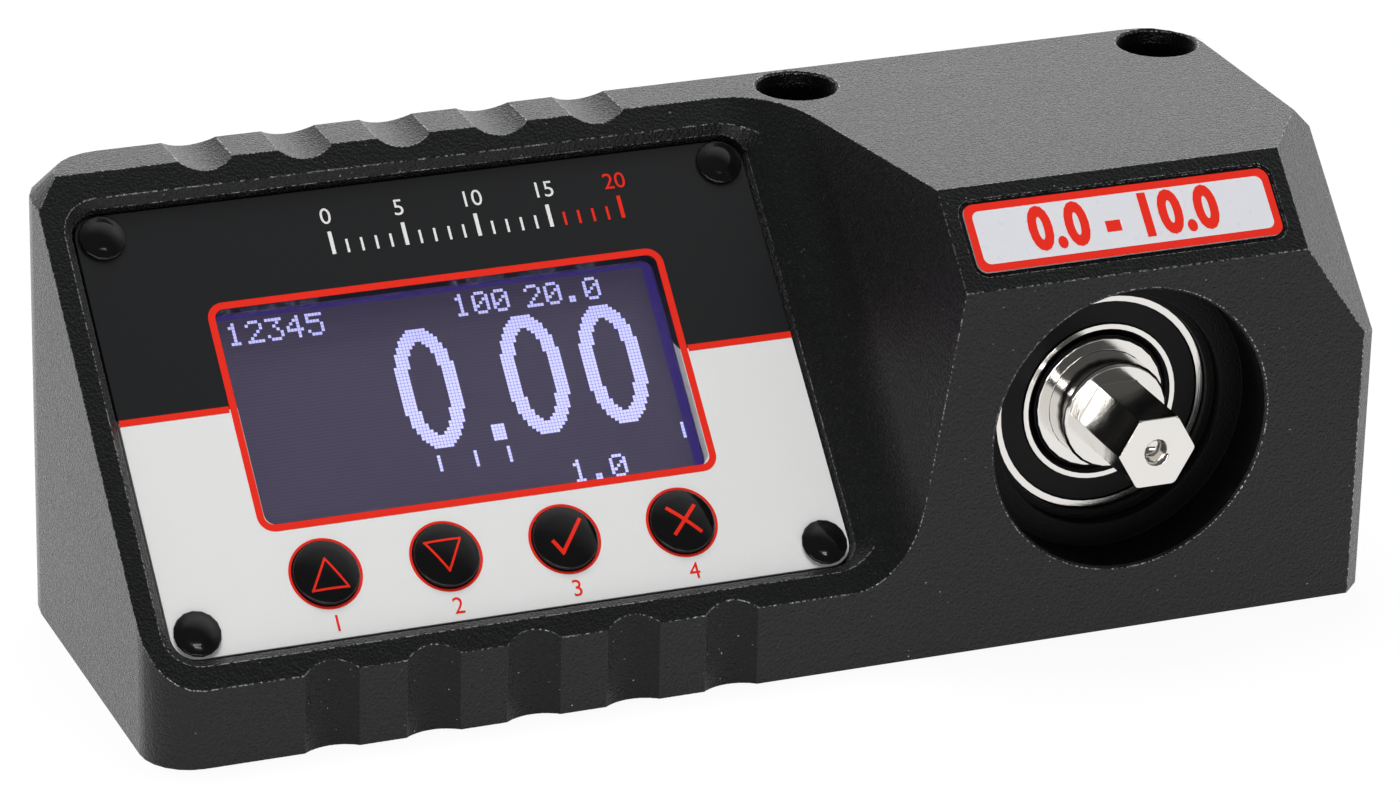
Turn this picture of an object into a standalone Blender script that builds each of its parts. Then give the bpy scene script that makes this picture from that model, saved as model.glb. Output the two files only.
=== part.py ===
"""Bench torque tester: a solid metal housing with a sloping display and a hex drive.

Lengths are metres and angles are radians. The housing is drawn from its lower
front left corner: +X runs along its length, +Y to the back and +Z up. Three
empties carry the pieces: housing_frame centres the whole tester on its base,
panel_frame lies on the sloping front, and drive_axis runs out through the bore.
"""

import math

import bmesh
import bpy
from mathutils import Matrix, Vector

# Housing outside
BODY_DEPTH = 0.0650
BODY_HEIGHT = 0.0647
BACK_CORNER_RADIUS = 0.0115
FRONT_CORNER_RADIUS = 0.0070
END_CHAMFER = 0.00275
TOP_CHAMFER = 0.0034
LIP_HEIGHT = 0.0115
TOP_LAND = 0.0111

# Wall that closes the sloping front on its right
WALL_LEAN = math.atan(0.227)
WALL_FILLET = 0.0105

# Bevel that carries the range label, and the corner cut beside it
LABEL_BEVEL = 0.0110
CORNER_CUT = 0.0124
LABEL_LENGTH = 0.0460
LABEL_WIDTH = 0.0101
LABEL_RADIUS = 0.0015
LABEL_THICKNESS = 0.0004
LABEL_MARGIN = 0.0007
LABEL_RECESS = 0.0006

# Finger grooves across the top rim and down the lip
GROOVE_COUNT = 5
GROOVE_INSET = 0.0034
GROOVE_RADIUS = 0.0066
GROOVE_DEPTH = 0.00125

# Front panel and the recess it lies in
PANEL_LEFT = 0.0046
PANEL_TO_WALL = 0.0061
PANEL_SIDE = 0.0167
PANEL_FOOT = 0.0051
PANEL_HEAD = 0.00564
PANEL_THICKNESS = 0.0020
PANEL_RADIUS = 0.0034
PANEL_DEPTH = 0.0020
PANEL_GAP = 0.00055
RECESS_BEVEL = 0.0012
RECESS_FLARE = 0.0030
SEAT_GAP = 0.0003
SHELF_THICKNESS = 0.0037
SHELF_MARGIN = 0.0052
SHELF_END = 0.0020

# Domed caps that pin the panel down
CAP_INSET_X = 0.0037
CAP_INSET_RISE = 0.00345
CAP_RADIUS = 0.0033
CAP_RIM_HEIGHT = 0.00045
CAP_RIM_WIDTH = 0.00035
CAP_DOME = 0.00115
CAP_SHANK_RADIUS = 0.0015
CAP_SHANK_LENGTH = 0.0062
CAP_CLEARANCE = 0.00015

# Keys
KEY_NAMES = ("key_up", "key_down", "key_confirm", "key_cancel")
KEY_INSET = 0.00638
KEY_ABOVE_FOOT = 0.0094
KEY_RADIUS = 0.0046
KEY_CLEARANCE = 0.00015
KEY_PROUD = 0.0005
KEY_DOME = 0.0006
KEY_FLANGE_RADIUS = 0.0053
KEY_FLANGE_THICKNESS = 0.0006
KEY_STEM_RADIUS = 0.0017
KEY_TRAVEL = 0.0004
SWITCH_SIDE = 0.0060
SWITCH_HEIGHT = 0.0035
STEM_ENTRY = 0.0008
STEM_END_GAP = 0.0006

# Display
DISPLAY_ABOVE_FOOT = 0.0332
WINDOW_LENGTH = 0.0640
WINDOW_WIDTH = 0.0318
WINDOW_RADIUS = 0.0016
PANE_SIDE = 0.0035
PANE_END = 0.0009
PANE_THICKNESS = 0.0010
FRAME_SIDE = 0.0050
FRAME_END = 0.0026
FRAME_THICKNESS = 0.0040
FRAME_BORDER = 0.0014
FRAME_FACE = 0.0008
GLASS_THICKNESS = 0.0024
DISPLAY_BOARD_MARGIN = 0.0004
BOARD_THICKNESS = 0.0016
BOARD_RADIUS = 0.0017
MAIN_BOARD_INSET = 0.0002
MAIN_BOARD_FOOT = 0.0096
MAIN_BOARD_DEPTH = 0.0150
BOARD_WALL_GAP = 0.0015
SPACER_INSET = 0.0030
SPACER_RADIUS = 0.0020
CHIP_SIZES = ((0.010, 0.010), (0.007, 0.005), (0.005, 0.004))
CHIP_THICKNESS = 0.0014
CHIP_PITCH = 0.0160
BUZZER_RADIUS = 0.0060
BUZZER_INSET = 0.0020
BUZZER_BELOW_HEAD = 0.0110
BUZZER_HEIGHT = 0.0050
SOUND_HOLE_RADIUS = 0.0010

# Hollow behind the display, and the cover under it
SIDE_WALL = 0.0055
FRONT_WALL = 0.0050
BACK_WALL = 0.0046
HOLLOW_TO_WALL = 0.0071
COVER_RIM = 0.0026
COVER_THICKNESS = 0.0022
COVER_RADIUS = 0.0040
BOSS_INSET = 0.0036
BOSS_RADIUS = 0.0042
BOSS_TOP = 0.0075
BASE_SCREW_HEAD = 0.0030
BASE_SCREW_RADIUS = 0.0015
BASE_SCREW_LENGTH = 0.0060
BASE_SCREW_KEY = 0.00115
SCREW_CLEARANCE = 0.00015
BATTERY_HEIGHT = 0.0145
BATTERY_TO_HOLLOW = 0.0086
BATTERY_TO_SOCKET = 0.0014
BATTERY_RADIUS = 0.0060
BATTERY_GAP = 0.0012
LEAD_RADIUS = 0.0010
LEAD_TUNNEL_RADIUS = 0.0030
LEAD_TUNNEL_Y = 0.0260
LEAD_UNDER_ROOF = 0.0037

# Sockets in the back wall
SOCKET_HEIGHT = 0.0160
POWER_X = 0.0260
POWER_RADIUS = 0.0042
POWER_HOLE_RADIUS = 0.0028
POWER_PIN_RADIUS = 0.0008
POWER_BODY = (0.0110, 0.0120, 0.0110)
DATA_X = 0.0460
DATA_LENGTH = 0.0078
DATA_WIDTH = 0.0032
DATA_BODY = (0.0100, 0.0090, 0.0060)
DATA_WALL = 0.0003
SOCKET_DEPTH = 0.0035

# Drive bore, and the two long counterbored mounting holes
WALL_FOOT_TO_BORE = 0.0326
BORE_TO_END = 0.0381
BORE_Z = 0.0302
BORE_RADIUS = 0.02055
BORE_DEPTH = 0.0104
BORE_BREAK = 0.0004
BORE_STEP_RADIUS = 0.0172
BORE_STEP_DEPTH = 0.0072
BORE_SEAT_DEPTH = 0.0094
CHAMBER_RADIUS = 0.0135
CHAMBER_LENGTH = 0.0120
TUNNEL_RADIUS = 0.0115
MOUNT_HOLE_SPACING = 0.0564
MOUNT_HOLE_TO_BACK = 0.0101
MOUNT_HEAD_RADIUS = 0.00578
MOUNT_SHANK_RADIUS = 0.0033
MOUNT_FLOOR_Z = 0.0150
MOUNT_BREAK = 0.0003

# Ball bearing
BEARING_OUTER_RADIUS = 0.0160
BEARING_INNER_RADIUS = 0.0100
BEARING_WIDTH = 0.0070
BEARING_OUTER_LAND = 0.0150
BEARING_INNER_LAND = 0.01155
BEARING_EDGE = 0.0001
BEARING_BORE_EDGE = 0.00085
BALL_COUNT = 11
BALL_RADIUS = 0.0019
BALL_CLEARANCE = 0.0001
CAGE_THICKNESS = 0.0008
CAGE_WIDTH = 0.0024
SEAL_THICKNESS = 0.0007
SEAL_INSET = 0.0002
SEAL_CLEARANCE = 0.00015
PRESS_GAP = 0.0001

# Drive shaft and the flange it is anchored to
HEX_ACROSS_FLATS = 0.0100
HEX_REACH = 0.0083
HEX_SHOULDER_DEPTH = 0.0049
HEX_TIP_BREAK = 0.0002
CENTRE_HOLE_RADIUS = 0.0016
CENTRE_HOLE_DEPTH = 0.0030
COLLAR_RADIUS = 0.00786
SHAFT_EDGE = 0.0004
STOP_RADIUS = 0.0114
STOP_LENGTH = 0.0020
NECK_RADIUS = 0.0062
HUB_RADIUS = 0.0110
HUB_LENGTH = 0.0150
HUB_WALL = 0.0060
RUNNING_CLEARANCE = 0.0001
FLANGE_RADIUS = 0.0194
FLANGE_THICKNESS = 0.0066
FLANGE_SINK = 0.0002
FLANGE_SCREW_COUNT = 4
FLANGE_SCREW_CIRCLE = 0.0152
FLANGE_HEAD_RADIUS = 0.0035
FLANGE_HEAD_HEIGHT = 0.0040
FLANGE_SCREW_RADIUS = 0.0020
FLANGE_SCREW_LENGTH = 0.0120
SOCKET_KEY_FLATS = 0.0030

# Facets
ARC_STEPS = 6
DOME_STEPS = 3
SMALL_STEPS = 16
ROUND_STEPS = 28
BORE_STEPS = 56
BALL_SIDES = 8
BALL_ROWS = 6
CAGE_STEPS = 3 * BALL_COUNT
HEX_CORNERS = 6
LEAD_ROUNDING = 2
SHARP_ANGLE = math.radians(30)
FLAT_ANGLE = 1e-3
MERGE_DISTANCE = 1e-6
OVERCUT = 0.0030

# What follows from the sizes above
SLOPE_RUN = BODY_DEPTH - TOP_LAND
SLOPE_RISE = BODY_HEIGHT - LIP_HEIGHT
SLOPE_ANGLE = math.atan2(SLOPE_RISE, SLOPE_RUN)
SLOPE_LENGTH = math.hypot(SLOPE_RUN, SLOPE_RISE)
PANEL_LENGTH = WINDOW_LENGTH + 2 * PANEL_SIDE
WALL_FOOT_X = PANEL_LEFT + PANEL_LENGTH + PANEL_TO_WALL
HOLLOW_RIGHT = WALL_FOOT_X - HOLLOW_TO_WALL
BORE_X = WALL_FOOT_X + WALL_FOOT_TO_BORE
BODY_LENGTH = BORE_X + BORE_TO_END
PANEL_WIDTH = SLOPE_LENGTH - PANEL_FOOT - PANEL_HEAD
PANEL_CENTRE_X = PANEL_LEFT + PANEL_LENGTH / 2
KEY_PITCH = (WINDOW_LENGTH - 2 * KEY_INSET) / (len(KEY_NAMES) - 1)
GROOVE_PITCH = (WINDOW_LENGTH - 2 * GROOVE_INSET) / (GROOVE_COUNT - 1)
PANEL_CENTRE_RISE = PANEL_FOOT + PANEL_WIDTH / 2
KEY_RISE = PANEL_FOOT + KEY_ABOVE_FOOT
DISPLAY_RISE = PANEL_FOOT + DISPLAY_ABOVE_FOOT
FRAME_LENGTH = WINDOW_LENGTH + 2 * FRAME_SIDE
FRAME_WIDTH = WINDOW_WIDTH + 2 * FRAME_END
SWITCH_BORE_DEPTH = STEM_ENTRY + KEY_TRAVEL + STEM_END_GAP
SHELF_TOP = -(PANEL_DEPTH + PANEL_THICKNESS + SEAT_GAP)
SHELF_UNDERSIDE = SHELF_TOP - SHELF_THICKNESS
PANEL_TOP = -PANEL_DEPTH
PANEL_UNDERSIDE = PANEL_TOP - PANEL_THICKNESS
BOARD_TOP = -MAIN_BOARD_DEPTH
SHELF_WINDOW_LENGTH = FRAME_LENGTH + 2 * SHELF_MARGIN
MAIN_BOARD_LENGTH = SHELF_WINDOW_LENGTH - 2 * MAIN_BOARD_INSET
HEX_SIDE = HEX_ACROSS_FLATS / math.sqrt(3)
COVER_SEAT_Z = COVER_THICKNESS + 2 * SEAT_GAP


def clear_scene():
    for obj in list(bpy.data.objects):
        bpy.data.objects.remove(obj, do_unlink=True)


def new_collection(name):
    made = bpy.data.collections.new(name)
    bpy.context.scene.collection.children.link(made)
    return made


def new_material(name, colour, roughness, metallic):
    made = bpy.data.materials.new(name)
    made.use_nodes = True
    shader = made.node_tree.nodes["Principled BSDF"]
    shader.inputs["Base Color"].default_value = (*colour, 1.0)
    shader.inputs["Roughness"].default_value = roughness
    shader.inputs["Metallic"].default_value = metallic
    return made


def new_empty(name, parent, location, tilt):
    made = bpy.data.objects.new(name, None)
    made.parent = parent
    made.location = location
    made.rotation_euler = (tilt, 0.0, 0.0)
    PARTS.objects.link(made)
    return made


def object_from_bmesh(name, bm, parent):
    bmesh.ops.recalc_face_normals(bm, faces=bm.faces)
    mesh = bpy.data.meshes.new(name)
    bm.to_mesh(mesh)
    bm.free()
    made = bpy.data.objects.new(name, mesh)
    made.parent = parent
    return made


def box(name, parent, low, high):
    """A box between two corners, in its parent's frame."""
    bm = bmesh.new()
    bmesh.ops.create_cube(bm, size=1.0)
    size = Vector(high) - Vector(low)
    bmesh.ops.scale(bm, vec=size, verts=bm.verts)
    made = object_from_bmesh(name, bm, parent)
    made.location = (Vector(low) + Vector(high)) / 2
    return made


def rod(name, parent, start, end, radius, steps=SMALL_STEPS, axis="Z"):
    """A cylinder whose two end centres are given, along one axis of its parent."""
    turns = {
        "X": Matrix.Rotation(math.pi / 2, 3, "Y"),
        "Y": Matrix.Rotation(-math.pi / 2, 3, "X"),
        "Z": Matrix.Identity(3),
    }
    bm = bmesh.new()
    length = (Vector(end) - Vector(start)).length
    bmesh.ops.create_cone(
        bm, cap_ends=True, segments=steps, radius1=radius, radius2=radius, depth=length
    )
    bmesh.ops.rotate(bm, matrix=turns[axis], verts=bm.verts)
    made = object_from_bmesh(name, bm, parent)
    made.location = (Vector(start) + Vector(end)) / 2
    return made


def arc(centre, radius, start, end, steps=ARC_STEPS):
    """Points on an arc, both ends included; angles are degrees."""
    points = []
    for step in range(steps + 1):
        angle = math.radians(start + (end - start) * step / steps)
        points.append((centre[0] + radius * math.cos(angle), centre[1] + radius * math.sin(angle)))
    return points


def rounded_rectangle(length, width, radius, centre=(0.0, 0.0)):
    """Anticlockwise outline, with every corner an arc of the same number of points."""
    across = length / 2 - radius
    up = width / 2 - radius
    corners = ((1, 1, 0), (-1, 1, 90), (-1, -1, 180), (1, -1, 270))
    outline = []
    for side_x, side_y, start in corners:
        corner = (centre[0] + side_x * across, centre[1] + side_y * up)
        outline += arc(corner, radius, start, start + 90)
    return outline


def slab(name, parent, outline, bottom, top):
    """A flat outline with a thickness, made as a filled curve and then a mesh."""
    curve = bpy.data.curves.new(name, "CURVE")
    curve.dimensions = "2D"
    curve.fill_mode = "BOTH"
    curve.extrude = (top - bottom) / 2
    spline = curve.splines.new("POLY")
    spline.points.add(len(outline) - 1)
    for point, (x, y) in zip(spline.points, outline):
        point.co = (x, y, 0.0, 1.0)
    spline.use_cyclic_u = True
    drawn = bpy.data.objects.new(name + "_outline", curve)
    bpy.context.scene.collection.objects.link(drawn)
    graph = bpy.context.evaluated_depsgraph_get()
    mesh = bpy.data.meshes.new_from_object(drawn.evaluated_get(graph))
    bpy.data.objects.remove(drawn)
    bm = bmesh.new()
    bm.from_mesh(mesh)
    bpy.data.meshes.remove(mesh)
    bmesh.ops.remove_doubles(bm, verts=bm.verts, dist=MERGE_DISTANCE)
    bmesh.ops.dissolve_limit(bm, angle_limit=FLAT_ANGLE, verts=bm.verts, edges=bm.edges)
    made = object_from_bmesh(name, bm, parent)
    made.location.z = (top + bottom) / 2
    return made


def loft(name, parent, rings):
    """A closed skin through rings of points; the first and the last ring are capped."""
    bm = bmesh.new()
    loops = [[bm.verts.new(point) for point in ring] for ring in rings]
    bm.faces.new(loops[0])
    bm.faces.new(loops[-1])
    for lower, upper in zip(loops, loops[1:]):
        for i, corner in enumerate(lower):
            j = (i + 1) % len(lower)
            bm.faces.new((corner, lower[j], upper[j], upper[i]))
    return object_from_bmesh(name, bm, parent)


def turned(name, parent, profile, steps=ROUND_STEPS):
    """A profile of (radius, height) points turned about Z; it runs down its outer side."""
    mesh = bpy.data.meshes.new(name)
    points = [(radius, 0.0, height) for radius, height in profile]
    edges = [(i, i + 1) for i in range(len(points) - 1)]
    if profile[0][0] > 0:
        edges.append((len(points) - 1, 0))
    mesh.from_pydata(points, edges, [])
    made = bpy.data.objects.new(name, mesh)
    made.parent = parent
    screw = made.modifiers.new("turn", "SCREW")
    screw.steps = steps
    screw.render_steps = steps
    screw.use_merge_vertices = True
    screw.merge_threshold = MERGE_DISTANCE
    screw.use_smooth_shade = False
    return made


def cut(target, cutter):
    CUTTERS.objects.link(cutter)
    cutter.hide_render = True
    cutter.display_type = "WIRE"
    boolean = target.modifiers.new(cutter.name, "BOOLEAN")
    boolean.operation = "DIFFERENCE"
    boolean.object = cutter


def join(target, piece):
    CUTTERS.objects.link(piece)
    piece.hide_render = True
    piece.display_type = "WIRE"
    boolean = target.modifiers.new(piece.name, "BOOLEAN")
    boolean.operation = "UNION"
    boolean.object = piece


def keep(piece, material, smooth=True):
    """Puts a finished piece among the parts, with its material and its shading."""
    PARTS.objects.link(piece)
    piece.data.materials.append(material)
    if smooth:
        piece.data.shade_smooth()
        piece.data.set_sharp_from_angle(angle=SHARP_ANGLE)
    return piece


def half_space(name, point, normal, along, size):
    """A cube with one face through the point, lying on the side the normal points to."""
    bm = bmesh.new()
    bmesh.ops.create_cube(bm, size=size)
    made = object_from_bmesh(name, bm, HOUSING_FRAME)
    outward = Vector(normal).normalized()
    forward = Vector(along).normalized()
    turn = Matrix((outward, forward, outward.cross(forward))).transposed()
    made.location = Vector(point) + outward * size / 2
    made.rotation_euler = turn.to_euler()
    return made


def rounded_corner(centre, radius, start):
    """Plan points round a corner, each with its direction out of the housing."""
    points = []
    for x, y in arc(centre, radius, start, start + 90):
        points.append(((x, y), ((x - centre[0]) / radius, (y - centre[1]) / radius)))
    return points


def housing_plan():
    """The housing seen from above: three round corners and one cut corner."""
    back = BACK_CORNER_RADIUS
    front = FRONT_CORNER_RADIUS
    plan = [
        ((BODY_LENGTH - END_CHAMFER, 0.0), (1.0, 0.0)),
        ((BODY_LENGTH, END_CHAMFER), (1.0, 0.0)),
    ]
    plan += rounded_corner((BODY_LENGTH - back, BODY_DEPTH - back), back, 0)
    plan += rounded_corner((back, BODY_DEPTH - back), back, 90)
    plan += rounded_corner((front, front), front, 180)
    return plan


def housing_block():
    """The solid block: its foot, the lower edge of its top chamfer and its top face."""
    plan = housing_plan()
    foot = [(x, y, 0.0) for (x, y), _ in plan]
    below = [(x, y, BODY_HEIGHT - TOP_CHAMFER) for (x, y), _ in plan]
    top = []
    for (x, y), (out_x, out_y) in plan:
        top.append((x - out_x * TOP_CHAMFER, y - out_y * TOP_CHAMFER, BODY_HEIGHT))
    return loft("housing", HOUSING_FRAME, (foot, below, top))


def slope_profile():
    """Cross-section of what is milled off above the slope: floor, fillet, leaning wall."""
    lean = math.degrees(WALL_LEAN)
    foot = WALL_FOOT_X - WALL_FILLET * (1 / math.cos(WALL_LEAN) - math.tan(WALL_LEAN))
    top = BODY_LENGTH
    outline = [(-OVERCUT, top), (-OVERCUT, 0.0)]
    outline += arc((foot, WALL_FILLET), WALL_FILLET, -90, -lean, 2 * ARC_STEPS)
    outline.append((WALL_FOOT_X + top * math.tan(WALL_LEAN), top))
    return outline


def cut_slope(housing):
    milled = slab("slope_cutter", PANEL_FRAME, slope_profile(), -BODY_DEPTH, 2 * BODY_LENGTH)
    # The outline's second coordinate is height off the slope, so the slab is stood up.
    milled.rotation_euler = (math.pi / 2, 0.0, 0.0)
    milled.location = (0.0, BODY_DEPTH - milled.location.z, 0.0)
    cut(housing, milled)


def cut_flats(housing):
    """The label bevel and the corner cut beside it."""
    foot = (BODY_LENGTH / 2, 0.0, BODY_HEIGHT - LABEL_BEVEL)
    facing = (0, -1, 1)
    cut(housing, half_space("label_bevel_cutter", foot, facing, (1, 0, 0), 2 * BODY_LENGTH))
    corner = (BODY_LENGTH - CORNER_CUT, 0.0, BODY_HEIGHT - LABEL_BEVEL)
    facing = (math.sqrt(2), -1, 1)
    cut(housing, half_space("corner_cutter", corner, facing, (0, 1, 1), BODY_LENGTH))


def groove_positions():
    first = PANEL_CENTRE_X - GROOVE_PITCH * (GROOVE_COUNT - 1) / 2
    return [first + GROOVE_PITCH * i for i in range(GROOVE_COUNT)]


def cut_grooves(housing):
    offset = GROOVE_RADIUS - GROOVE_DEPTH
    for number, x in enumerate(groove_positions(), 1):
        height = BODY_HEIGHT + offset
        ends = ((x, SLOPE_RUN / 2, height), (x, BODY_DEPTH + OVERCUT, height))
        cut(housing, rod(f"top_groove_{number}", HOUSING_FRAME, *ends, GROOVE_RADIUS, BORE_STEPS, "Y"))
        ends = ((x, -offset, -OVERCUT), (x, -offset, SLOPE_RISE / 2))
        cut(housing, rod(f"lip_groove_{number}", HOUSING_FRAME, *ends, GROOVE_RADIUS, BORE_STEPS))


def panel_outline(margin):
    return rounded_rectangle(
        PANEL_LENGTH + 2 * margin,
        PANEL_WIDTH + 2 * margin,
        PANEL_RADIUS + margin,
        (PANEL_CENTRE_X, PANEL_CENTRE_RISE),
    )


def cut_panel_recess(housing):
    """A straight-sided seat for the panel that opens out at 45 degrees to the slope."""
    flare = RECESS_BEVEL + RECESS_FLARE
    levels = ((SHELF_TOP, PANEL_GAP), (-RECESS_BEVEL, PANEL_GAP), (RECESS_FLARE, PANEL_GAP + flare))
    rings = [[(x, y, height) for x, y in panel_outline(margin)] for height, margin in levels]
    cut(housing, loft("panel_recess", PANEL_FRAME, rings))


def height_under_slope(y, depth):
    """Height above the base of a plane that lies below the slope, parallel to it."""
    return LIP_HEIGHT + y * math.tan(SLOPE_ANGLE) - depth / math.cos(SLOPE_ANGLE)


def depth_under_slope(z, depth):
    """Where the same plane comes down to a height, measured back from the front face."""
    return (z - LIP_HEIGHT + depth / math.cos(SLOPE_ANGLE)) / math.tan(SLOPE_ANGLE)


def cut_hollow(housing):
    """The room behind the display, open below, and the window through the shelf."""
    back = BODY_DEPTH - BACK_WALL
    section = [
        (FRONT_WALL, -OVERCUT),
        (back, -OVERCUT),
        (back, height_under_slope(back, -SHELF_UNDERSIDE)),
        (FRONT_WALL, height_under_slope(FRONT_WALL, -SHELF_UNDERSIDE)),
    ]
    rings = [[(x, y, z) for y, z in section] for x in (SIDE_WALL, HOLLOW_RIGHT)]
    cut(housing, loft("hollow", HOUSING_FRAME, rings))
    centre = (PANEL_CENTRE_X, PANEL_CENTRE_RISE)
    width = PANEL_WIDTH - 2 * SHELF_END
    window = rounded_rectangle(SHELF_WINDOW_LENGTH, width, PANEL_RADIUS, centre)
    below = SHELF_UNDERSIDE - OVERCUT
    cut(housing, slab("shelf_window", PANEL_FRAME, window, below, SHELF_TOP + OVERCUT / 2))


def cover_extent():
    low = (SIDE_WALL - COVER_RIM, FRONT_WALL - COVER_RIM)
    high = (HOLLOW_RIGHT + COVER_RIM, BODY_DEPTH - BACK_WALL + COVER_RIM)
    return low, high


def cover_outline(margin):
    low, high = cover_extent()
    centre = ((low[0] + high[0]) / 2, (low[1] + high[1]) / 2)
    length = high[0] - low[0] + 2 * margin
    width = high[1] - low[1] + 2 * margin
    return rounded_rectangle(length, width, COVER_RADIUS + margin, centre)


def base_screw_places():
    low = (SIDE_WALL + BOSS_INSET, FRONT_WALL + BOSS_INSET)
    high = (HOLLOW_RIGHT - BOSS_INSET, BODY_DEPTH - BACK_WALL - BOSS_INSET)
    return [(x, y) for x in (low[0], high[0]) for y in (low[1], high[1])]


def fit_base(housing):
    """Bosses for the cover's screws, and the rebate that the cover lies in."""
    for number, (x, y) in enumerate(base_screw_places(), 1):
        ends = ((x, y, SEAT_GAP), (x, y, BOSS_TOP))
        join(housing, rod(f"base_boss_{number}", HOUSING_FRAME, *ends, BOSS_RADIUS))
    rebate = slab("cover_rebate", HOUSING_FRAME, cover_outline(0.0), -OVERCUT, COVER_SEAT_Z)
    cut(housing, rebate)
    depth = SEAT_GAP + BASE_SCREW_LENGTH + SEAT_GAP
    for number, (x, y) in enumerate(base_screw_places(), 1):
        ends = ((x, y, -OVERCUT), (x, y, depth))
        radius = BASE_SCREW_RADIUS + SCREW_CLEARANCE
        cut(housing, rod(f"base_screw_hole_{number}", HOUSING_FRAME, *ends, radius))


def cut_label_recess(housing):
    outline = rounded_rectangle(
        LABEL_LENGTH + 2 * LABEL_MARGIN, LABEL_WIDTH + 2 * LABEL_MARGIN, LABEL_RADIUS + LABEL_MARGIN
    )
    cut(housing, slab("label_recess", LABEL_FRAME, outline, -LABEL_RECESS, OVERCUT))


def cut_drive_bore(housing):
    """One stepped bore from the front mouth to the flange seat in the back."""
    seat = -BORE_DEPTH - BEARING_WIDTH - SEAT_GAP
    chamber = seat - CHAMBER_LENGTH
    flange = -BODY_DEPTH + FLANGE_THICKNESS + FLANGE_SINK + SEAT_GAP
    profile = [
        (0.0, OVERCUT),
        (BORE_RADIUS + BORE_BREAK + OVERCUT, OVERCUT),
        (BORE_RADIUS, -BORE_BREAK),
        (BORE_RADIUS, -BORE_STEP_DEPTH),
        (BORE_STEP_RADIUS, -BORE_STEP_DEPTH),
        (BORE_STEP_RADIUS, -BORE_SEAT_DEPTH),
        (BEARING_OUTER_RADIUS + PRESS_GAP, -BORE_SEAT_DEPTH),
        (BEARING_OUTER_RADIUS + PRESS_GAP, seat),
        (CHAMBER_RADIUS, seat),
        (CHAMBER_RADIUS, chamber),
        (TUNNEL_RADIUS, chamber),
        (TUNNEL_RADIUS, flange),
        (FLANGE_RADIUS + SEAT_GAP, flange),
        (FLANGE_RADIUS + SEAT_GAP, -BODY_DEPTH - OVERCUT),
        (0.0, -BODY_DEPTH - OVERCUT),
    ]
    cut(housing, turned("drive_bore", DRIVE_AXIS, profile, BORE_STEPS))
    screw_end = -BODY_DEPTH + FLANGE_SINK + FLANGE_SCREW_LENGTH + 2 * SEAT_GAP
    for number, (x, y) in enumerate(flange_screw_places(), 1):
        ends = ((x, y, flange - OVERCUT), (x, y, screw_end))
        radius = FLANGE_SCREW_RADIUS + SCREW_CLEARANCE
        cut(housing, rod(f"flange_screw_hole_{number}", DRIVE_AXIS, *ends, radius))


def lead_height():
    return height_under_slope(LEAD_TUNNEL_Y, -SHELF_UNDERSIDE) - LEAD_UNDER_ROOF


def cut_lead_tunnel(housing):
    z = lead_height()
    ends = ((HOLLOW_RIGHT - OVERCUT, LEAD_TUNNEL_Y, z), (BORE_X, LEAD_TUNNEL_Y, z))
    cut(housing, rod("lead_tunnel", HOUSING_FRAME, *ends, LEAD_TUNNEL_RADIUS, axis="X"))


def cut_mount_holes(housing):
    """Long counterbores from the top, for the screws that hold the tester to a bench."""
    for number, side in enumerate((-1, 1), 1):
        x = BORE_X + side * MOUNT_HOLE_SPACING / 2
        profile = [
            (0.0, BODY_HEIGHT + OVERCUT),
            (MOUNT_HEAD_RADIUS + MOUNT_BREAK + OVERCUT, BODY_HEIGHT + OVERCUT),
            (MOUNT_HEAD_RADIUS, BODY_HEIGHT - MOUNT_BREAK),
            (MOUNT_HEAD_RADIUS, MOUNT_FLOOR_Z),
            (MOUNT_SHANK_RADIUS, MOUNT_FLOOR_Z),
            (MOUNT_SHANK_RADIUS, -OVERCUT),
            (0.0, -OVERCUT),
        ]
        cutter = turned(f"mount_hole_{number}", HOUSING_FRAME, profile)
        cutter.location = (x, BODY_DEPTH - MOUNT_HOLE_TO_BACK, 0.0)
        cut(housing, cutter)


def cut_socket_holes(housing):
    inside = BODY_DEPTH - BACK_WALL - OVERCUT
    outside = BODY_DEPTH + OVERCUT
    ends = ((POWER_X, inside, SOCKET_HEIGHT), (POWER_X, outside, SOCKET_HEIGHT))
    cut(housing, rod("power_hole", HOUSING_FRAME, *ends, POWER_RADIUS + SEAT_GAP, axis="Y"))
    size = (DATA_LENGTH + 2 * SEAT_GAP, DATA_WIDTH + 2 * SEAT_GAP)
    cut(housing, box_round("data_hole", (DATA_X, SOCKET_HEIGHT), size, inside, outside))


def cap_places():
    half_x = PANEL_LENGTH / 2 - CAP_INSET_X
    half_rise = PANEL_WIDTH / 2 - CAP_INSET_RISE
    return [
        (PANEL_CENTRE_X + side * half_x, PANEL_CENTRE_RISE + end * half_rise)
        for end in (1, -1)
        for side in (-1, 1)
    ]


def cut_cap_holes(piece, bottom, top, label):
    radius = CAP_SHANK_RADIUS + CAP_CLEARANCE
    for number, (x, y) in enumerate(cap_places(), 1):
        cut(piece, rod(f"{label}_{number}", PANEL_FRAME, (x, y, bottom), (x, y, top), radius))


def make_housing(finish):
    housing = housing_block()
    cut_flats(housing)
    cut_slope(housing)
    cut_grooves(housing)
    cut_panel_recess(housing)
    cut_hollow(housing)
    fit_base(housing)
    cut_label_recess(housing)
    cut_drive_bore(housing)
    cut_lead_tunnel(housing)
    cut_mount_holes(housing)
    cut_socket_holes(housing)
    cut_cap_holes(housing, SHELF_UNDERSIDE - OVERCUT, OVERCUT, "cap_seat")
    return keep(housing, finish)


def key_places():
    first = PANEL_CENTRE_X - KEY_PITCH * (len(KEY_NAMES) - 1) / 2
    return [(first + KEY_PITCH * i, KEY_RISE) for i in range(len(KEY_NAMES))]


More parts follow.
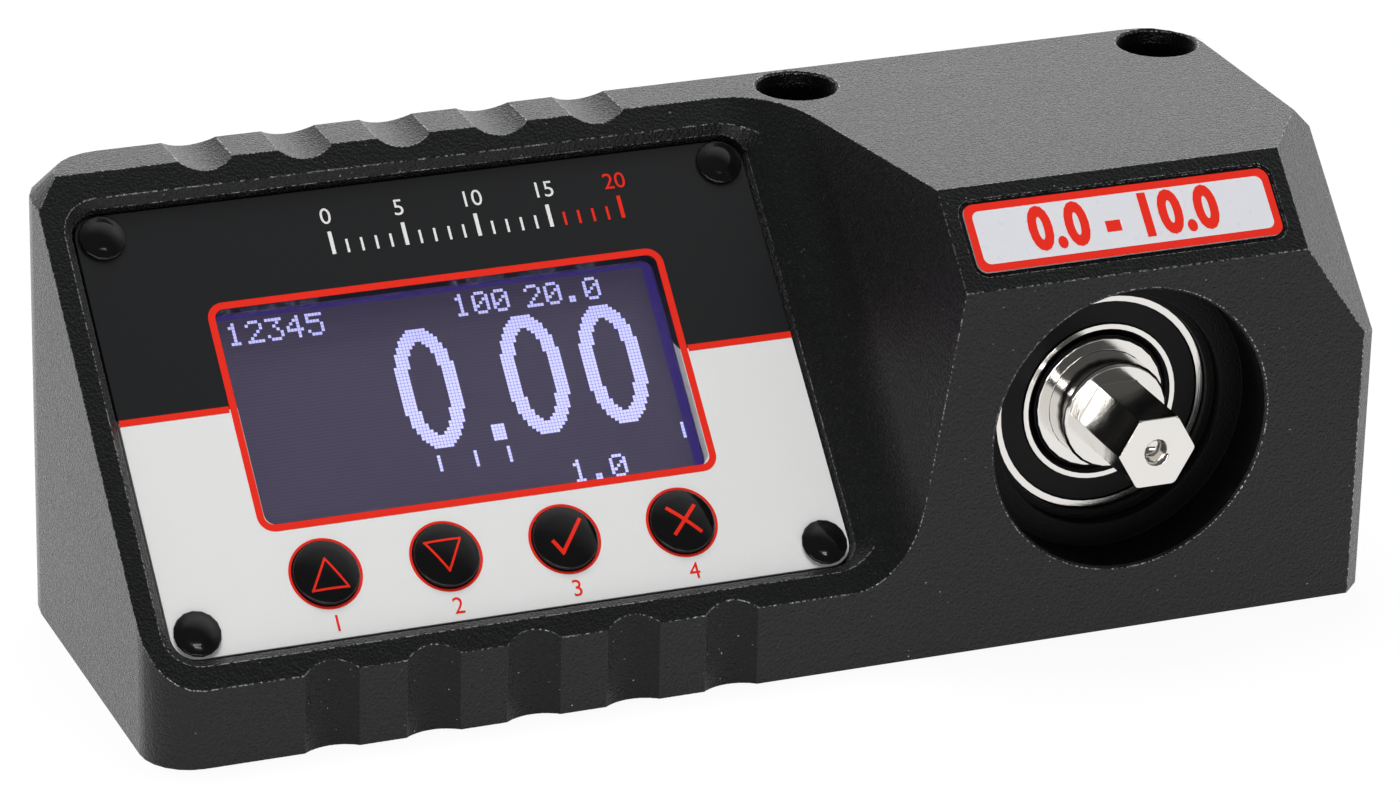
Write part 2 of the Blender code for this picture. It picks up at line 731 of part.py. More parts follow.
def make_panel(finish):
    panel = slab("front_panel", PANEL_FRAME, panel_outline(0.0), PANEL_UNDERSIDE, PANEL_TOP)
    centre = (PANEL_CENTRE_X, DISPLAY_RISE)
    opening = rounded_rectangle(WINDOW_LENGTH, WINDOW_WIDTH, WINDOW_RADIUS, centre)
    below = PANEL_UNDERSIDE - OVERCUT
    cut(panel, slab("window_opening", PANEL_FRAME, opening, below, OVERCUT))
    for name, (x, y) in zip(KEY_NAMES, key_places()):
        ends = ((x, y, below), (x, y, OVERCUT))
        radius = KEY_RADIUS + KEY_CLEARANCE
        cut(panel, rod(f"{name}_opening", PANEL_FRAME, *ends, radius, ROUND_STEPS))
    cut_cap_holes(panel, below, OVERCUT, "cap_hole")
    return keep(panel, finish)


def dome_profile(radius, foot, height):
    """Points from the top of a dome down to its rim."""
    sphere = (radius**2 + height**2) / (2 * height)
    spread = math.degrees(math.asin(radius / sphere))
    dome = arc((0.0, foot + height - sphere), sphere, 90, 90 - spread, DOME_STEPS)
    return [(0.0, foot + height)] + dome[1:]


def make_caps(finish):
    """Push-in pins with a dome inside a flat rim, one at each corner of the panel."""
    start = PANEL_TOP + SEAT_GAP / 2
    rim = start + CAP_RIM_HEIGHT
    profile = dome_profile(CAP_RADIUS - CAP_RIM_WIDTH, rim, CAP_DOME)
    profile += [(CAP_RADIUS, rim), (CAP_RADIUS, start)]
    end = start - CAP_SHANK_LENGTH
    profile += [(CAP_SHANK_RADIUS, start), (CAP_SHANK_RADIUS, end), (0.0, end)]
    for number, (x, y) in enumerate(cap_places(), 1):
        cap = turned(f"panel_cap_{number}", PANEL_FRAME, profile, SMALL_STEPS)
        cap.location = (x, y, 0.0)
        keep(cap, finish)


def make_keys(finish):
    """Round keys with a domed face, a flange under the panel and a stem in the switch."""
    flange = PANEL_UNDERSIDE - SEAT_GAP
    stem_end = BOARD_TOP + SEAT_GAP + SWITCH_HEIGHT - STEM_ENTRY
    profile = dome_profile(KEY_RADIUS, PANEL_TOP + KEY_PROUD, KEY_DOME)
    profile += [
        (KEY_RADIUS, flange),
        (KEY_FLANGE_RADIUS, flange),
        (KEY_FLANGE_RADIUS, flange - KEY_FLANGE_THICKNESS),
        (KEY_STEM_RADIUS, flange - KEY_FLANGE_THICKNESS),
        (KEY_STEM_RADIUS, stem_end),
        (0.0, stem_end),
    ]
    for name, (x, y) in zip(KEY_NAMES, key_places()):
        key = turned(name, PANEL_FRAME, profile)
        key.location = (x, y, 0.0)
        keep(key, finish)


def make_switches(finish):
    base = BOARD_TOP + SEAT_GAP
    top = base + SWITCH_HEIGHT
    half = SWITCH_SIDE / 2
    for number, (x, y) in enumerate(key_places(), 1):
        corners = ((x - half, y - half, base), (x + half, y + half, top))
        switch = box(f"key_switch_{number}", PANEL_FRAME, *corners)
        ends = ((x, y, top - SWITCH_BORE_DEPTH), (x, y, top + OVERCUT))
        radius = KEY_STEM_RADIUS + SCREW_CLEARANCE
        cut(switch, rod(f"plunger_bore_{number}", PANEL_FRAME, *ends, radius))
        keep(switch, finish, smooth=False)


def display_outline(length, width, radius):
    return rounded_rectangle(length, width, radius, (PANEL_CENTRE_X, DISPLAY_RISE))


def make_window(clear):
    top = PANEL_UNDERSIDE - SEAT_GAP
    length = WINDOW_LENGTH + 2 * PANE_SIDE
    width = WINDOW_WIDTH + 2 * PANE_END
    outline = display_outline(length, width, WINDOW_RADIUS)
    keep(slab("display_window", PANEL_FRAME, outline, top - PANE_THICKNESS, top), clear)


def make_display(metal, glass, board):
    """The liquid crystal cell in its bent frame, and the board behind it."""
    top = PANEL_UNDERSIDE - PANE_THICKNESS - 2 * SEAT_GAP
    bottom = top - FRAME_THICKNESS
    outline = display_outline(FRAME_LENGTH, FRAME_WIDTH, WINDOW_RADIUS)
    frame = slab("display_frame", PANEL_FRAME, outline, bottom, top)
    length = WINDOW_LENGTH + FRAME_BORDER
    width = WINDOW_WIDTH + FRAME_BORDER
    sight = display_outline(length, width, WINDOW_RADIUS / 2)
    cut(frame, slab("frame_sight", PANEL_FRAME, sight, bottom - OVERCUT, top + OVERCUT / 4))
    length = FRAME_LENGTH - 2 * FRAME_BORDER
    width = FRAME_WIDTH - 2 * FRAME_BORDER
    pocket = display_outline(length, width, WINDOW_RADIUS / 2)
    cut(frame, slab("frame_pocket", PANEL_FRAME, pocket, bottom - OVERCUT, top - FRAME_FACE))
    keep(frame, metal)
    cell_top = top - FRAME_FACE - SEAT_GAP / 2
    cell = display_outline(length - 2 * SEAT_GAP, width - 2 * SEAT_GAP, WINDOW_RADIUS / 4)
    keep(slab("display_glass", PANEL_FRAME, cell, cell_top - GLASS_THICKNESS, cell_top), glass)
    margin = 2 * DISPLAY_BOARD_MARGIN
    outline = display_outline(FRAME_LENGTH + margin, FRAME_WIDTH + margin, WINDOW_RADIUS / 2)
    board_top = bottom - SEAT_GAP
    keep(slab("display_board", PANEL_FRAME, outline, board_top - BOARD_THICKNESS, board_top), board)


def main_board_head():
    """How far up the slope the board may go before its underside meets the back wall."""
    depth = MAIN_BOARD_DEPTH + BOARD_THICKNESS
    room = BODY_DEPTH - BACK_WALL - BOARD_WALL_GAP
    return (room - depth * math.sin(SLOPE_ANGLE)) / math.cos(SLOPE_ANGLE)


def make_main_board(board):
    """The main board, with its chips joined to the underside."""
    width = main_board_head() - MAIN_BOARD_FOOT
    rise = MAIN_BOARD_FOOT + width / 2
    centre = (PANEL_CENTRE_X, rise)
    outline = rounded_rectangle(MAIN_BOARD_LENGTH, width, BOARD_RADIUS, centre)
    bottom = BOARD_TOP - BOARD_THICKNESS
    main = slab("main_board", PANEL_FRAME, outline, bottom, BOARD_TOP)
    for number, (length, width) in enumerate(CHIP_SIZES):
        x = PANEL_CENTRE_X + (number - 1) * CHIP_PITCH
        low = (x - length / 2, rise - width / 2, bottom - CHIP_THICKNESS)
        high = (x + length / 2, rise + width / 2, bottom + BOARD_THICKNESS / 2)
        join(main, box(f"chip_{number + 1}", PANEL_FRAME, low, high))
    keep(main, board, smooth=False)


def make_spacers(case):
    """Four posts between the panel and the main board, outside the display frame."""
    across = FRAME_LENGTH / 2 + DISPLAY_BOARD_MARGIN + SEAT_GAP + SPACER_RADIUS
    rises = (MAIN_BOARD_FOOT + SPACER_INSET, main_board_head() - SPACER_INSET)
    places = [(PANEL_CENTRE_X + side * across, rise) for rise in rises for side in (-1, 1)]
    for number, (x, y) in enumerate(places, 1):
        ends = ((x, y, BOARD_TOP + SEAT_GAP), (x, y, PANEL_UNDERSIDE - SEAT_GAP))
        keep(rod(f"board_spacer_{number}", PANEL_FRAME, *ends, SPACER_RADIUS), case)


def make_buzzer(case):
    """A round buzzer with a sound hole, under the head of the main board."""
    x = PANEL_CENTRE_X + MAIN_BOARD_LENGTH / 2 - BUZZER_RADIUS - BUZZER_INSET
    rise = main_board_head() - BUZZER_RADIUS - BUZZER_BELOW_HEAD
    top = BOARD_TOP - BOARD_THICKNESS - SEAT_GAP
    profile = [
        (SOUND_HOLE_RADIUS, top),
        (BUZZER_RADIUS, top),
        (BUZZER_RADIUS, top - BUZZER_HEIGHT),
        (SOUND_HOLE_RADIUS, top - BUZZER_HEIGHT),
    ]
    buzzer = turned("buzzer", PANEL_FRAME, profile)
    buzzer.location = (x, rise, 0.0)
    keep(buzzer, case)


def make_battery(wrap):
    """A block that fills the room under the main board, right of the data socket."""
    base = COVER_SEAT_Z + SEAT_GAP
    board_underside = MAIN_BOARD_DEPTH + BOARD_THICKNESS
    front = depth_under_slope(base + BATTERY_HEIGHT + BATTERY_GAP, board_underside)
    back = BODY_DEPTH - BACK_WALL - BATTERY_GAP
    outline = rounded_rectangle(
        back - front,
        BATTERY_HEIGHT,
        BATTERY_RADIUS,
        ((front + back) / 2, base + BATTERY_HEIGHT / 2),
    )
    left = DATA_X + DATA_BODY[0] / 2 + BATTERY_TO_SOCKET
    right = HOLLOW_RIGHT - BATTERY_TO_HOLLOW
    rings = [[(x, y, z) for y, z in outline] for x in (left, right)]
    keep(loft("battery_pack", HOUSING_FRAME, rings), wrap)


def make_base_cover(finish, screw_finish):
    face = SEAT_GAP / 2
    outline = cover_outline(-SEAT_GAP)
    cover = slab("base_cover", HOUSING_FRAME, outline, face, face + COVER_THICKNESS)
    head = BASE_SCREW_HEAD - BASE_SCREW_RADIUS
    shank = BASE_SCREW_RADIUS + SCREW_CLEARANCE
    for number, (x, y) in enumerate(base_screw_places(), 1):
        hole_profile = [
            (0.0, COVER_SEAT_Z + OVERCUT),
            (shank, COVER_SEAT_Z + OVERCUT),
            (shank, face + head),
            (BASE_SCREW_HEAD + SCREW_CLEARANCE + OVERCUT, face - OVERCUT),
            (0.0, face - OVERCUT),
        ]
        hole = turned(f"cover_hole_{number}", HOUSING_FRAME, hole_profile, SMALL_STEPS)
        hole.location = (x, y, 0.0)
        cut(cover, hole)
        make_base_screw(number, x, y, screw_finish)
    keep(cover, finish)


def make_base_screw(number, x, y, finish):
    """A flat-headed screw with a six-sided recess, its head just inside the cover."""
    start = SEAT_GAP
    head = BASE_SCREW_HEAD - BASE_SCREW_RADIUS
    profile = [
        (0.0, start + BASE_SCREW_LENGTH),
        (BASE_SCREW_RADIUS, start + BASE_SCREW_LENGTH),
        (BASE_SCREW_RADIUS, start + head),
        (BASE_SCREW_HEAD - SEAT_GAP / 2, start),
        (0.0, start),
    ]
    screw = turned(f"base_screw_{number}", HOUSING_FRAME, profile, SMALL_STEPS)
    screw.location = (x, y, 0.0)
    ends = ((x, y, -OVERCUT), (x, y, start + head))
    cut(screw, rod(f"base_screw_recess_{number}", HOUSING_FRAME, *ends, BASE_SCREW_KEY, HEX_CORNERS))
    keep(screw, finish)


def box_round(name, centre, size, y_low, y_high):
    """A box about a point of the back wall, given its length and height there."""
    x, z = centre
    length, height = size
    low = (x - length / 2, y_low, z - height / 2)
    high = (x + length / 2, y_high, z + height / 2)
    return box(name, HOUSING_FRAME, low, high)


def make_power_socket(case):
    """A round supply socket with its centre pin, reached from the back."""
    face = BODY_DEPTH - SEAT_GAP
    inner = BODY_DEPTH - BACK_WALL - SEAT_GAP
    floor = inner - SOCKET_DEPTH
    length, depth, height = POWER_BODY
    centre = (POWER_X, SOCKET_HEIGHT)
    power = box_round("power_socket", centre, (length, height), inner - depth, inner)
    ends = ((POWER_X, inner - OVERCUT, SOCKET_HEIGHT), (POWER_X, face, SOCKET_HEIGHT))
    join(power, rod("power_nose", HOUSING_FRAME, *ends, POWER_RADIUS, axis="Y"))
    ends = ((POWER_X, floor, SOCKET_HEIGHT), (POWER_X, face + OVERCUT, SOCKET_HEIGHT))
    cut(power, rod("power_mouth", HOUSING_FRAME, *ends, POWER_HOLE_RADIUS, axis="Y"))
    pin_end = inner + SOCKET_DEPTH
    ends = ((POWER_X, floor - OVERCUT / 2, SOCKET_HEIGHT), (POWER_X, pin_end, SOCKET_HEIGHT))
    join(power, rod("power_pin", HOUSING_FRAME, *ends, POWER_PIN_RADIUS, axis="Y"))
    keep(power, case)


def make_data_socket(metal):
    """A flat data socket with a thin-walled mouth, reached from the back."""
    face = BODY_DEPTH - SEAT_GAP
    inner = BODY_DEPTH - BACK_WALL - SEAT_GAP
    length, depth, height = DATA_BODY
    centre = (DATA_X, SOCKET_HEIGHT)
    data = box_round("data_socket", centre, (length, height), inner - depth, inner)
    nose = (DATA_LENGTH, DATA_WIDTH)
    join(data, box_round("data_nose", centre, nose, inner - OVERCUT, face))
    mouth = (DATA_LENGTH - 2 * DATA_WALL, DATA_WIDTH - 2 * DATA_WALL)
    floor = inner - SOCKET_DEPTH
    cut(data, box_round("data_mouth", centre, mouth, floor, face + OVERCUT))
    keep(data, metal, smooth=False)


def make_label(finish):
    outline = rounded_rectangle(LABEL_LENGTH, LABEL_WIDTH, LABEL_RADIUS)
    bottom = -LABEL_RECESS + SCREW_CLEARANCE
    keep(slab("range_label", LABEL_FRAME, outline, bottom, bottom + LABEL_THICKNESS), finish)


def make_bearing(steel, rubber, brass):
    """Two grooved rings, a caged row of balls and a rubber seal on each side."""
    front = -BORE_DEPTH
    back = front - BEARING_WIDTH
    middle = (front + back) / 2
    pitch = (BEARING_OUTER_LAND + BEARING_INNER_LAND) / 2
    groove = BALL_RADIUS + BALL_CLEARANCE
    edge = BEARING_EDGE
    bore_edge = BEARING_BORE_EDGE
    reach_out = BEARING_OUTER_LAND - pitch
    reach_in = pitch - BEARING_INNER_LAND
    open_out = math.degrees(math.acos(reach_out / groove))
    open_in = math.degrees(math.acos(reach_in / groove))
    outer = [
        (BEARING_OUTER_LAND, front),
        (BEARING_OUTER_RADIUS - edge, front),
        (BEARING_OUTER_RADIUS, front - edge),
        (BEARING_OUTER_RADIUS, back + edge),
        (BEARING_OUTER_RADIUS - edge, back),
        (BEARING_OUTER_LAND, back),
    ]
    outer += arc((pitch, middle), groove, -open_out, open_out, DOME_STEPS)
    keep(turned("bearing_outer_ring", DRIVE_AXIS, outer, BORE_STEPS), steel)
    inner = [
        (BEARING_INNER_RADIUS + bore_edge, front),
        (BEARING_INNER_LAND, front),
    ]
    inner += arc((pitch, middle), groove, 180 - open_in, 180 + open_in, DOME_STEPS)
    inner += [
        (BEARING_INNER_LAND, back),
        (BEARING_INNER_RADIUS + bore_edge, back),
        (BEARING_INNER_RADIUS, back + bore_edge),
        (BEARING_INNER_RADIUS, front - bore_edge),
    ]
    keep(turned("bearing_inner_ring", DRIVE_AXIS, inner, BORE_STEPS), steel)
    half_wall = CAGE_THICKNESS / 2
    half_width = CAGE_WIDTH / 2
    cage_profile = [
        (pitch - half_wall, middle + half_width),
        (pitch + half_wall, middle + half_width),
        (pitch + half_wall, middle - half_width),
        (pitch - half_wall, middle - half_width),
    ]
    cage = turned("ball_cage", DRIVE_AXIS, cage_profile, CAGE_STEPS)
    for number in range(BALL_COUNT):
        angle = 2 * math.pi * number / BALL_COUNT
        bm = bmesh.new()
        bmesh.ops.create_uvsphere(bm, u_segments=BALL_SIDES, v_segments=BALL_ROWS, radius=BALL_RADIUS)
        ball = object_from_bmesh(f"ball_{number + 1}", bm, DRIVE_AXIS)
        ball.location = (pitch * math.cos(angle), pitch * math.sin(angle), middle)
        join(cage, ball)
    keep(cage, brass)
    for name, outside, inward in (("bearing_seal_front", front, -1), ("bearing_seal_rear", back, 1)):
        start = outside + inward * SEAL_INSET
        levels = sorted((start, start + inward * SEAL_THICKNESS), reverse=True)
        profile = [
            (BEARING_INNER_LAND + SEAL_CLEARANCE, levels[0]),
            (BEARING_OUTER_LAND - SEAL_CLEARANCE, levels[0]),
            (BEARING_OUTER_LAND - SEAL_CLEARANCE, levels[1]),
            (BEARING_INNER_LAND + SEAL_CLEARANCE, levels[1]),
        ]
        keep(turned(name, DRIVE_AXIS, profile, BORE_STEPS), rubber)


def make_drive_shaft(steel):
    """Hex drive, collar, journal through the bearing, stop ring and gauge neck in one."""
    journal = BEARING_INNER_RADIUS - PRESS_GAP
    stop = -BORE_DEPTH - BEARING_WIDTH - SEAT_GAP
    hub_front = -BODY_DEPTH + FLANGE_SINK + FLANGE_THICKNESS + HUB_LENGTH
    tail = hub_front - HUB_LENGTH + HUB_WALL - FLANGE_THICKNESS + SEAT_GAP
    profile = [
        (0.0, -HEX_SHOULDER_DEPTH),
        (COLLAR_RADIUS - SHAFT_EDGE, -HEX_SHOULDER_DEPTH),
        (COLLAR_RADIUS, -HEX_SHOULDER_DEPTH - SHAFT_EDGE),
        (COLLAR_RADIUS, -BORE_DEPTH + SEAT_GAP),
        (journal - SHAFT_EDGE, -BORE_DEPTH + SEAT_GAP),
        (journal, -BORE_DEPTH + SEAT_GAP - SHAFT_EDGE),
        (journal, stop),
        (STOP_RADIUS, stop),
        (STOP_RADIUS, stop - STOP_LENGTH),
        (NECK_RADIUS, stop - STOP_LENGTH),
        (NECK_RADIUS, tail),
        (0.0, tail),
    ]
    shaft = turned("drive_shaft", DRIVE_AXIS, profile)
    join(shaft, make_hex())
    hole = [
        (0.0, HEX_REACH + OVERCUT),
        (CENTRE_HOLE_RADIUS + OVERCUT + SHAFT_EDGE, HEX_REACH + OVERCUT),
        (CENTRE_HOLE_RADIUS, HEX_REACH - SHAFT_EDGE),
        (CENTRE_HOLE_RADIUS, HEX_REACH - CENTRE_HOLE_DEPTH),
        (0.0, HEX_REACH - CENTRE_HOLE_DEPTH - CENTRE_HOLE_RADIUS / 2),
    ]
    cut(shaft, turned("centre_hole", DRIVE_AXIS, hole, SMALL_STEPS))
    keep(shaft, steel)


def make_hex():
    """The six-sided end, with its tip corners turned back."""
    bm = bmesh.new()
    length = HEX_REACH + HEX_SHOULDER_DEPTH + OVERCUT
    bmesh.ops.create_cone(
        bm, cap_ends=True, segments=HEX_CORNERS, radius1=HEX_SIDE, radius2=HEX_SIDE, depth=length
    )
    made = object_from_bmesh("hex_drive", bm, DRIVE_AXIS)
    # Two flats lie level, so two corners point along the housing.
    made.rotation_euler.z = math.pi / HEX_CORNERS
    made.location.z = HEX_REACH - length / 2
    tip = HEX_SIDE - HEX_TIP_BREAK
    wide = HEX_SIDE + OVERCUT
    profile = [
        (0.0, HEX_REACH),
        (tip, HEX_REACH),
        (wide, HEX_REACH - (wide - tip)),
        (wide, -HEX_SHOULDER_DEPTH - 2 * OVERCUT),
        (0.0, -HEX_SHOULDER_DEPTH - 2 * OVERCUT),
    ]
    turning = turned("hex_turning", DRIVE_AXIS, profile)
    CUTTERS.objects.link(turning)
    turning.hide_render = True
    turning.display_type = "WIRE"
    common = made.modifiers.new("tip", "BOOLEAN")
    common.operation = "INTERSECT"
    common.object = turning
    return made


def flange_screw_places():
    places = []
    for number in range(FLANGE_SCREW_COUNT):
        angle = math.pi / 4 + 2 * math.pi * number / FLANGE_SCREW_COUNT
        places.append((FLANGE_SCREW_CIRCLE * math.cos(angle), FLANGE_SCREW_CIRCLE * math.sin(angle)))
    return places


def make_flange(steel, screw_finish):
    """Anchor of the drive: a flange screwed into the back, with a hub round the neck."""
    back = -BODY_DEPTH + FLANGE_SINK
    face = back + FLANGE_THICKNESS
    bore = NECK_RADIUS + RUNNING_CLEARANCE
    profile = [
        (bore, face + HUB_LENGTH),
        (HUB_RADIUS, face + HUB_LENGTH),
        (HUB_RADIUS, face),
        (FLANGE_RADIUS, face),
        (FLANGE_RADIUS, back),
        (0.0, back),
        (0.0, back + HUB_WALL),
        (bore, back + HUB_WALL),
    ]
    flange = turned_closed("drive_flange", profile)
    seat = back + FLANGE_HEAD_HEIGHT + SEAT_GAP
    for number, (x, y) in enumerate(flange_screw_places(), 1):
        ends = ((x, y, back - OVERCUT), (x, y, seat))
        radius = FLANGE_HEAD_RADIUS + SCREW_CLEARANCE
        cut(flange, rod(f"flange_head_hole_{number}", DRIVE_AXIS, *ends, radius))
        ends = ((x, y, seat - SEAT_GAP), (x, y, face + OVERCUT))
        radius = FLANGE_SCREW_RADIUS + SCREW_CLEARANCE
        cut(flange, rod(f"flange_shank_hole_{number}", DRIVE_AXIS, *ends, radius))
        make_flange_screw(number, x, y, seat - SEAT_GAP / 2, screw_finish)
    keep(flange, steel)


def turned_closed(name, profile):
    """A turned piece whose profile runs along the axis partway round its loop."""
    on_axis = [i for i, (radius, _) in enumerate(profile) if radius == 0.0]
    opened = profile[on_axis[1] :] + profile[: on_axis[1]]
    return turned(name, DRIVE_AXIS, opened, BORE_STEPS)


def make_flange_screw(number, x, y, seat, finish):
    """A socket-headed screw whose head lies in the flange, pointing to the front."""
    profile = [
        (0.0, seat + FLANGE_SCREW_LENGTH - FLANGE_HEAD_HEIGHT),
        (FLANGE_SCREW_RADIUS, seat + FLANGE_SCREW_LENGTH - FLANGE_HEAD_HEIGHT),
        (FLANGE_SCREW_RADIUS, seat),
        (FLANGE_HEAD_RADIUS, seat),
        (FLANGE_HEAD_RADIUS, seat - FLANGE_HEAD_HEIGHT),
        (0.0, seat - FLANGE_HEAD_HEIGHT),
    ]
    screw = turned(f"flange_screw_{number}", DRIVE_AXIS, profile, SMALL_STEPS)
    screw.location = (x, y, 0.0)
    low = (x, y, seat - FLANGE_HEAD_HEIGHT - OVERCUT)
    high = (x, y, seat - FLANGE_HEAD_HEIGHT / 2)
    radius = SOCKET_KEY_FLATS / math.sqrt(3)
    cut(screw, rod(f"flange_screw_key_{number}", DRIVE_AXIS, low, high, radius, HEX_CORNERS))
    keep(screw, finish)


def make_gauge_lead(sheath):
    """The gauge's lead, from the chamber round the neck to the room behind the display."""
    inside = HOLLOW_RIGHT - LEAD_TUNNEL_RADIUS
    z = lead_height()
    route = (
        (BORE_X - HUB_RADIUS, LEAD_TUNNEL_Y, z),
        (inside, LEAD_TUNNEL_Y, z),
        (inside - 2 * LEAD_TUNNEL_RADIUS, LEAD_TUNNEL_Y, z - LEAD_TUNNEL_RADIUS),
    )
    curve = bpy.data.curves.new("gauge_lead", "CURVE")
    curve.dimensions = "3D"
    curve.bevel_depth = LEAD_RADIUS
    curve.bevel_resolution = LEAD_ROUNDING
    curve.use_fill_caps = True
    spline = curve.splines.new("POLY")
    spline.points.add(len(route) - 1)
    for point, place in zip(spline.points, route):
        point.co = (*place, 1.0)
    lead = bpy.data.objects.new("gauge_lead", curve)
    lead.parent = HOUSING_FRAME
    PARTS.objects.link(lead)
    curve.materials.append(sheath)


clear_scene()
PARTS = new_collection("torque_tester")
CUTTERS = new_collection("cutters")
CORNER = (-BODY_LENGTH / 2, -(BODY_DEPTH - HEX_REACH) / 2, 0.0)
HOUSING_FRAME = new_empty("housing_frame", None, CORNER, 0.0)
PANEL_FRAME = new_empty("panel_frame", HOUSING_FRAME, (0.0, 0.0, LIP_HEIGHT), SLOPE_ANGLE)
LABEL_CENTRE = (BORE_X, LABEL_BEVEL / 2, BODY_HEIGHT - LABEL_BEVEL / 2)
LABEL_FRAME = new_empty("label_frame", HOUSING_FRAME, LABEL_CENTRE, math.pi / 4)
DRIVE_AXIS = new_empty("drive_axis", HOUSING_FRAME, (BORE_X, 0.0, BORE_Z), math.pi / 2)

BLACK_COAT = new_material("black_powder_coat", (0.022, 0.023, 0.024), 0.48, 0.0)
PANEL_PRINT = new_material("panel_print", (0.62, 0.62, 0.62), 0.35, 0.0)
BLACK_GLOSS = new_material("black_gloss", (0.010, 0.010, 0.011), 0.12, 0.0)
BLACK_PLASTIC = new_material("black_plastic", (0.020, 0.020, 0.020), 0.45, 0.0)
CLEAR = new_material("clear_pane", (0.75, 0.78, 0.80), 0.05, 0.0)
DISPLAY_BLUE = new_material("display_blue", (0.070, 0.060, 0.110), 0.15, 0.0)
TIN_PLATE = new_material("tin_plate", (0.60, 0.60, 0.58), 0.35, 1.0)
BOARD_GREEN = new_material("board_green", (0.020, 0.120, 0.050), 0.40, 0.0)
LABEL_PRINT = new_material("label_print", (0.75, 0.75, 0.78), 0.30, 0.0)
BRIGHT_STEEL = new_material("bright_steel", (0.66, 0.65, 0.63), 0.22, 1.0)
RUBBER = new_material("rubber", (0.012, 0.012, 0.013), 0.60, 0.0)
CAGE_BRASS = new_material("cage_brass", (0.62, 0.45, 0.20), 0.35, 1.0)
SHRINK_WRAP = new_material("shrink_wrap", (0.020, 0.060, 0.220), 0.30, 0.0)
GREY_SHEATH = new_material("grey_sheath", (0.18, 0.18, 0.18), 0.50, 0.0)

make_housing(BLACK_COAT)
make_panel(PANEL_PRINT)
make_caps(BLACK_GLOSS)
make_keys(BLACK_GLOSS)
make_switches(BLACK_PLASTIC)
make_window(CLEAR)
make_display(TIN_PLATE, DISPLAY_BLUE, BOARD_GREEN)
make_main_board(BOARD_GREEN)
make_spacers(BLACK_PLASTIC)
make_buzzer(BLACK_PLASTIC)
make_battery(SHRINK_WRAP)
make_base_cover(BLACK_COAT, BRIGHT_STEEL)
make_power_socket(BLACK_PLASTIC)
make_data_socket(TIN_PLATE)
make_label(LABEL_PRINT)
make_bearing(BRIGHT_STEEL, RUBBER, CAGE_BRASS)
make_drive_shaft(BRIGHT_STEEL)
make_flange(BRIGHT_STEEL, BLACK_PLASTIC)
make_gauge_lead(GREY_SHEATH)
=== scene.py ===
import math

import bpy
from mathutils import Matrix, Vector


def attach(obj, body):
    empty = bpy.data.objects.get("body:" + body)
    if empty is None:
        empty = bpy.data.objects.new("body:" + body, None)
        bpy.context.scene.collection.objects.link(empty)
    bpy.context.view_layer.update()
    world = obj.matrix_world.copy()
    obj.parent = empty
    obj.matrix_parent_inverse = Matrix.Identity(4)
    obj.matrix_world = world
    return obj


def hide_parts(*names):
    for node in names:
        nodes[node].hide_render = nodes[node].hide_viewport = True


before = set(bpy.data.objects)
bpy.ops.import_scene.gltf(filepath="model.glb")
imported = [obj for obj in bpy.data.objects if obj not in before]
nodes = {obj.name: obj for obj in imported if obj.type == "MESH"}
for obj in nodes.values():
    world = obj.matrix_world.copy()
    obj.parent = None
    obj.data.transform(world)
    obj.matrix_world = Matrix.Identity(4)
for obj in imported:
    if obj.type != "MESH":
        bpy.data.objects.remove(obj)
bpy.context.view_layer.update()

# The camera stands to the left of the tester and above it, with a long lens, as in the photograph.
eye = Vector((-0.303895, -0.738955, 0.372008))
to_right = Vector((0.928685, -0.370251, 0.021415))
to_top = Vector((0.127459, 0.372859, 0.919092))
to_back = Vector((-0.348279, -0.850818, 0.393460))
lens = bpy.data.cameras.new("bench_view")
lens.lens = 160.98
lens.sensor_width = 36.0
lens.sensor_fit = "HORIZONTAL"
lens.clip_start = 0.01
camera = bpy.data.objects.new("bench_view", lens)
turn = Matrix((to_right, to_top, to_back)).transposed().to_4x4()
camera.matrix_world = Matrix.Translation(eye) @ turn
bpy.context.scene.collection.objects.link(camera)
bpy.context.scene.camera = camera


# Housing: one block of machined aluminium with a fine-textured black coat, worn to the metal
# in places along its broken edges. The cover under the display closes its hollow with four
# countersunk screws. The pocket's walls take a darker, duller coat as painted shade, and the
# grooves in the lip a duller coat as painted shade.
HOUSING_EDGE = 0.00010
COAT_COLOUR = (0.0052, 0.0056, 0.0057, 1.0)
COAT_SPECK = (0.30, 0.30, 0.30, 1.0)
WORN_METAL = (0.34, 0.34, 0.34, 1.0)
POCKET_SHADE_COLOUR = (0.0030, 0.0032, 0.0032, 1.0)
COAT_ROUGHNESS = 0.27
COAT_GRAIN = 2700.0
COAT_BUMP = 0.00018
COAT_SPECULAR = 0.31
COAT_SHEEN = 0.14
SPECK_GRAIN = 2300.0
BARE_SPECKS = (0.850, 0.862)
WORN_SPECKS = (0.46, 0.68)
GROOVE_SPECULAR = 0.20
GROOVE_SHEEN = 0.07
POCKET_SPECULAR = 0.12
SMOOTH_ANGLE = 25
DRIVE_AXIS_X = 0.0513
DRIVE_AXIS_Z = 0.0302
POCKET_RADIUS = 0.0208
POCKET_FRONT = -0.0281
POCKET_BACK = 0.0
GROOVES_FROM_X = -0.080
GROOVES_TO_X = 0.020
GROOVES_BACK = -0.0266
COAT_SLOT, EDGE_SLOT, POCKET_SHADE_SLOT, GROOVE_SHADE_SLOT = range(4)


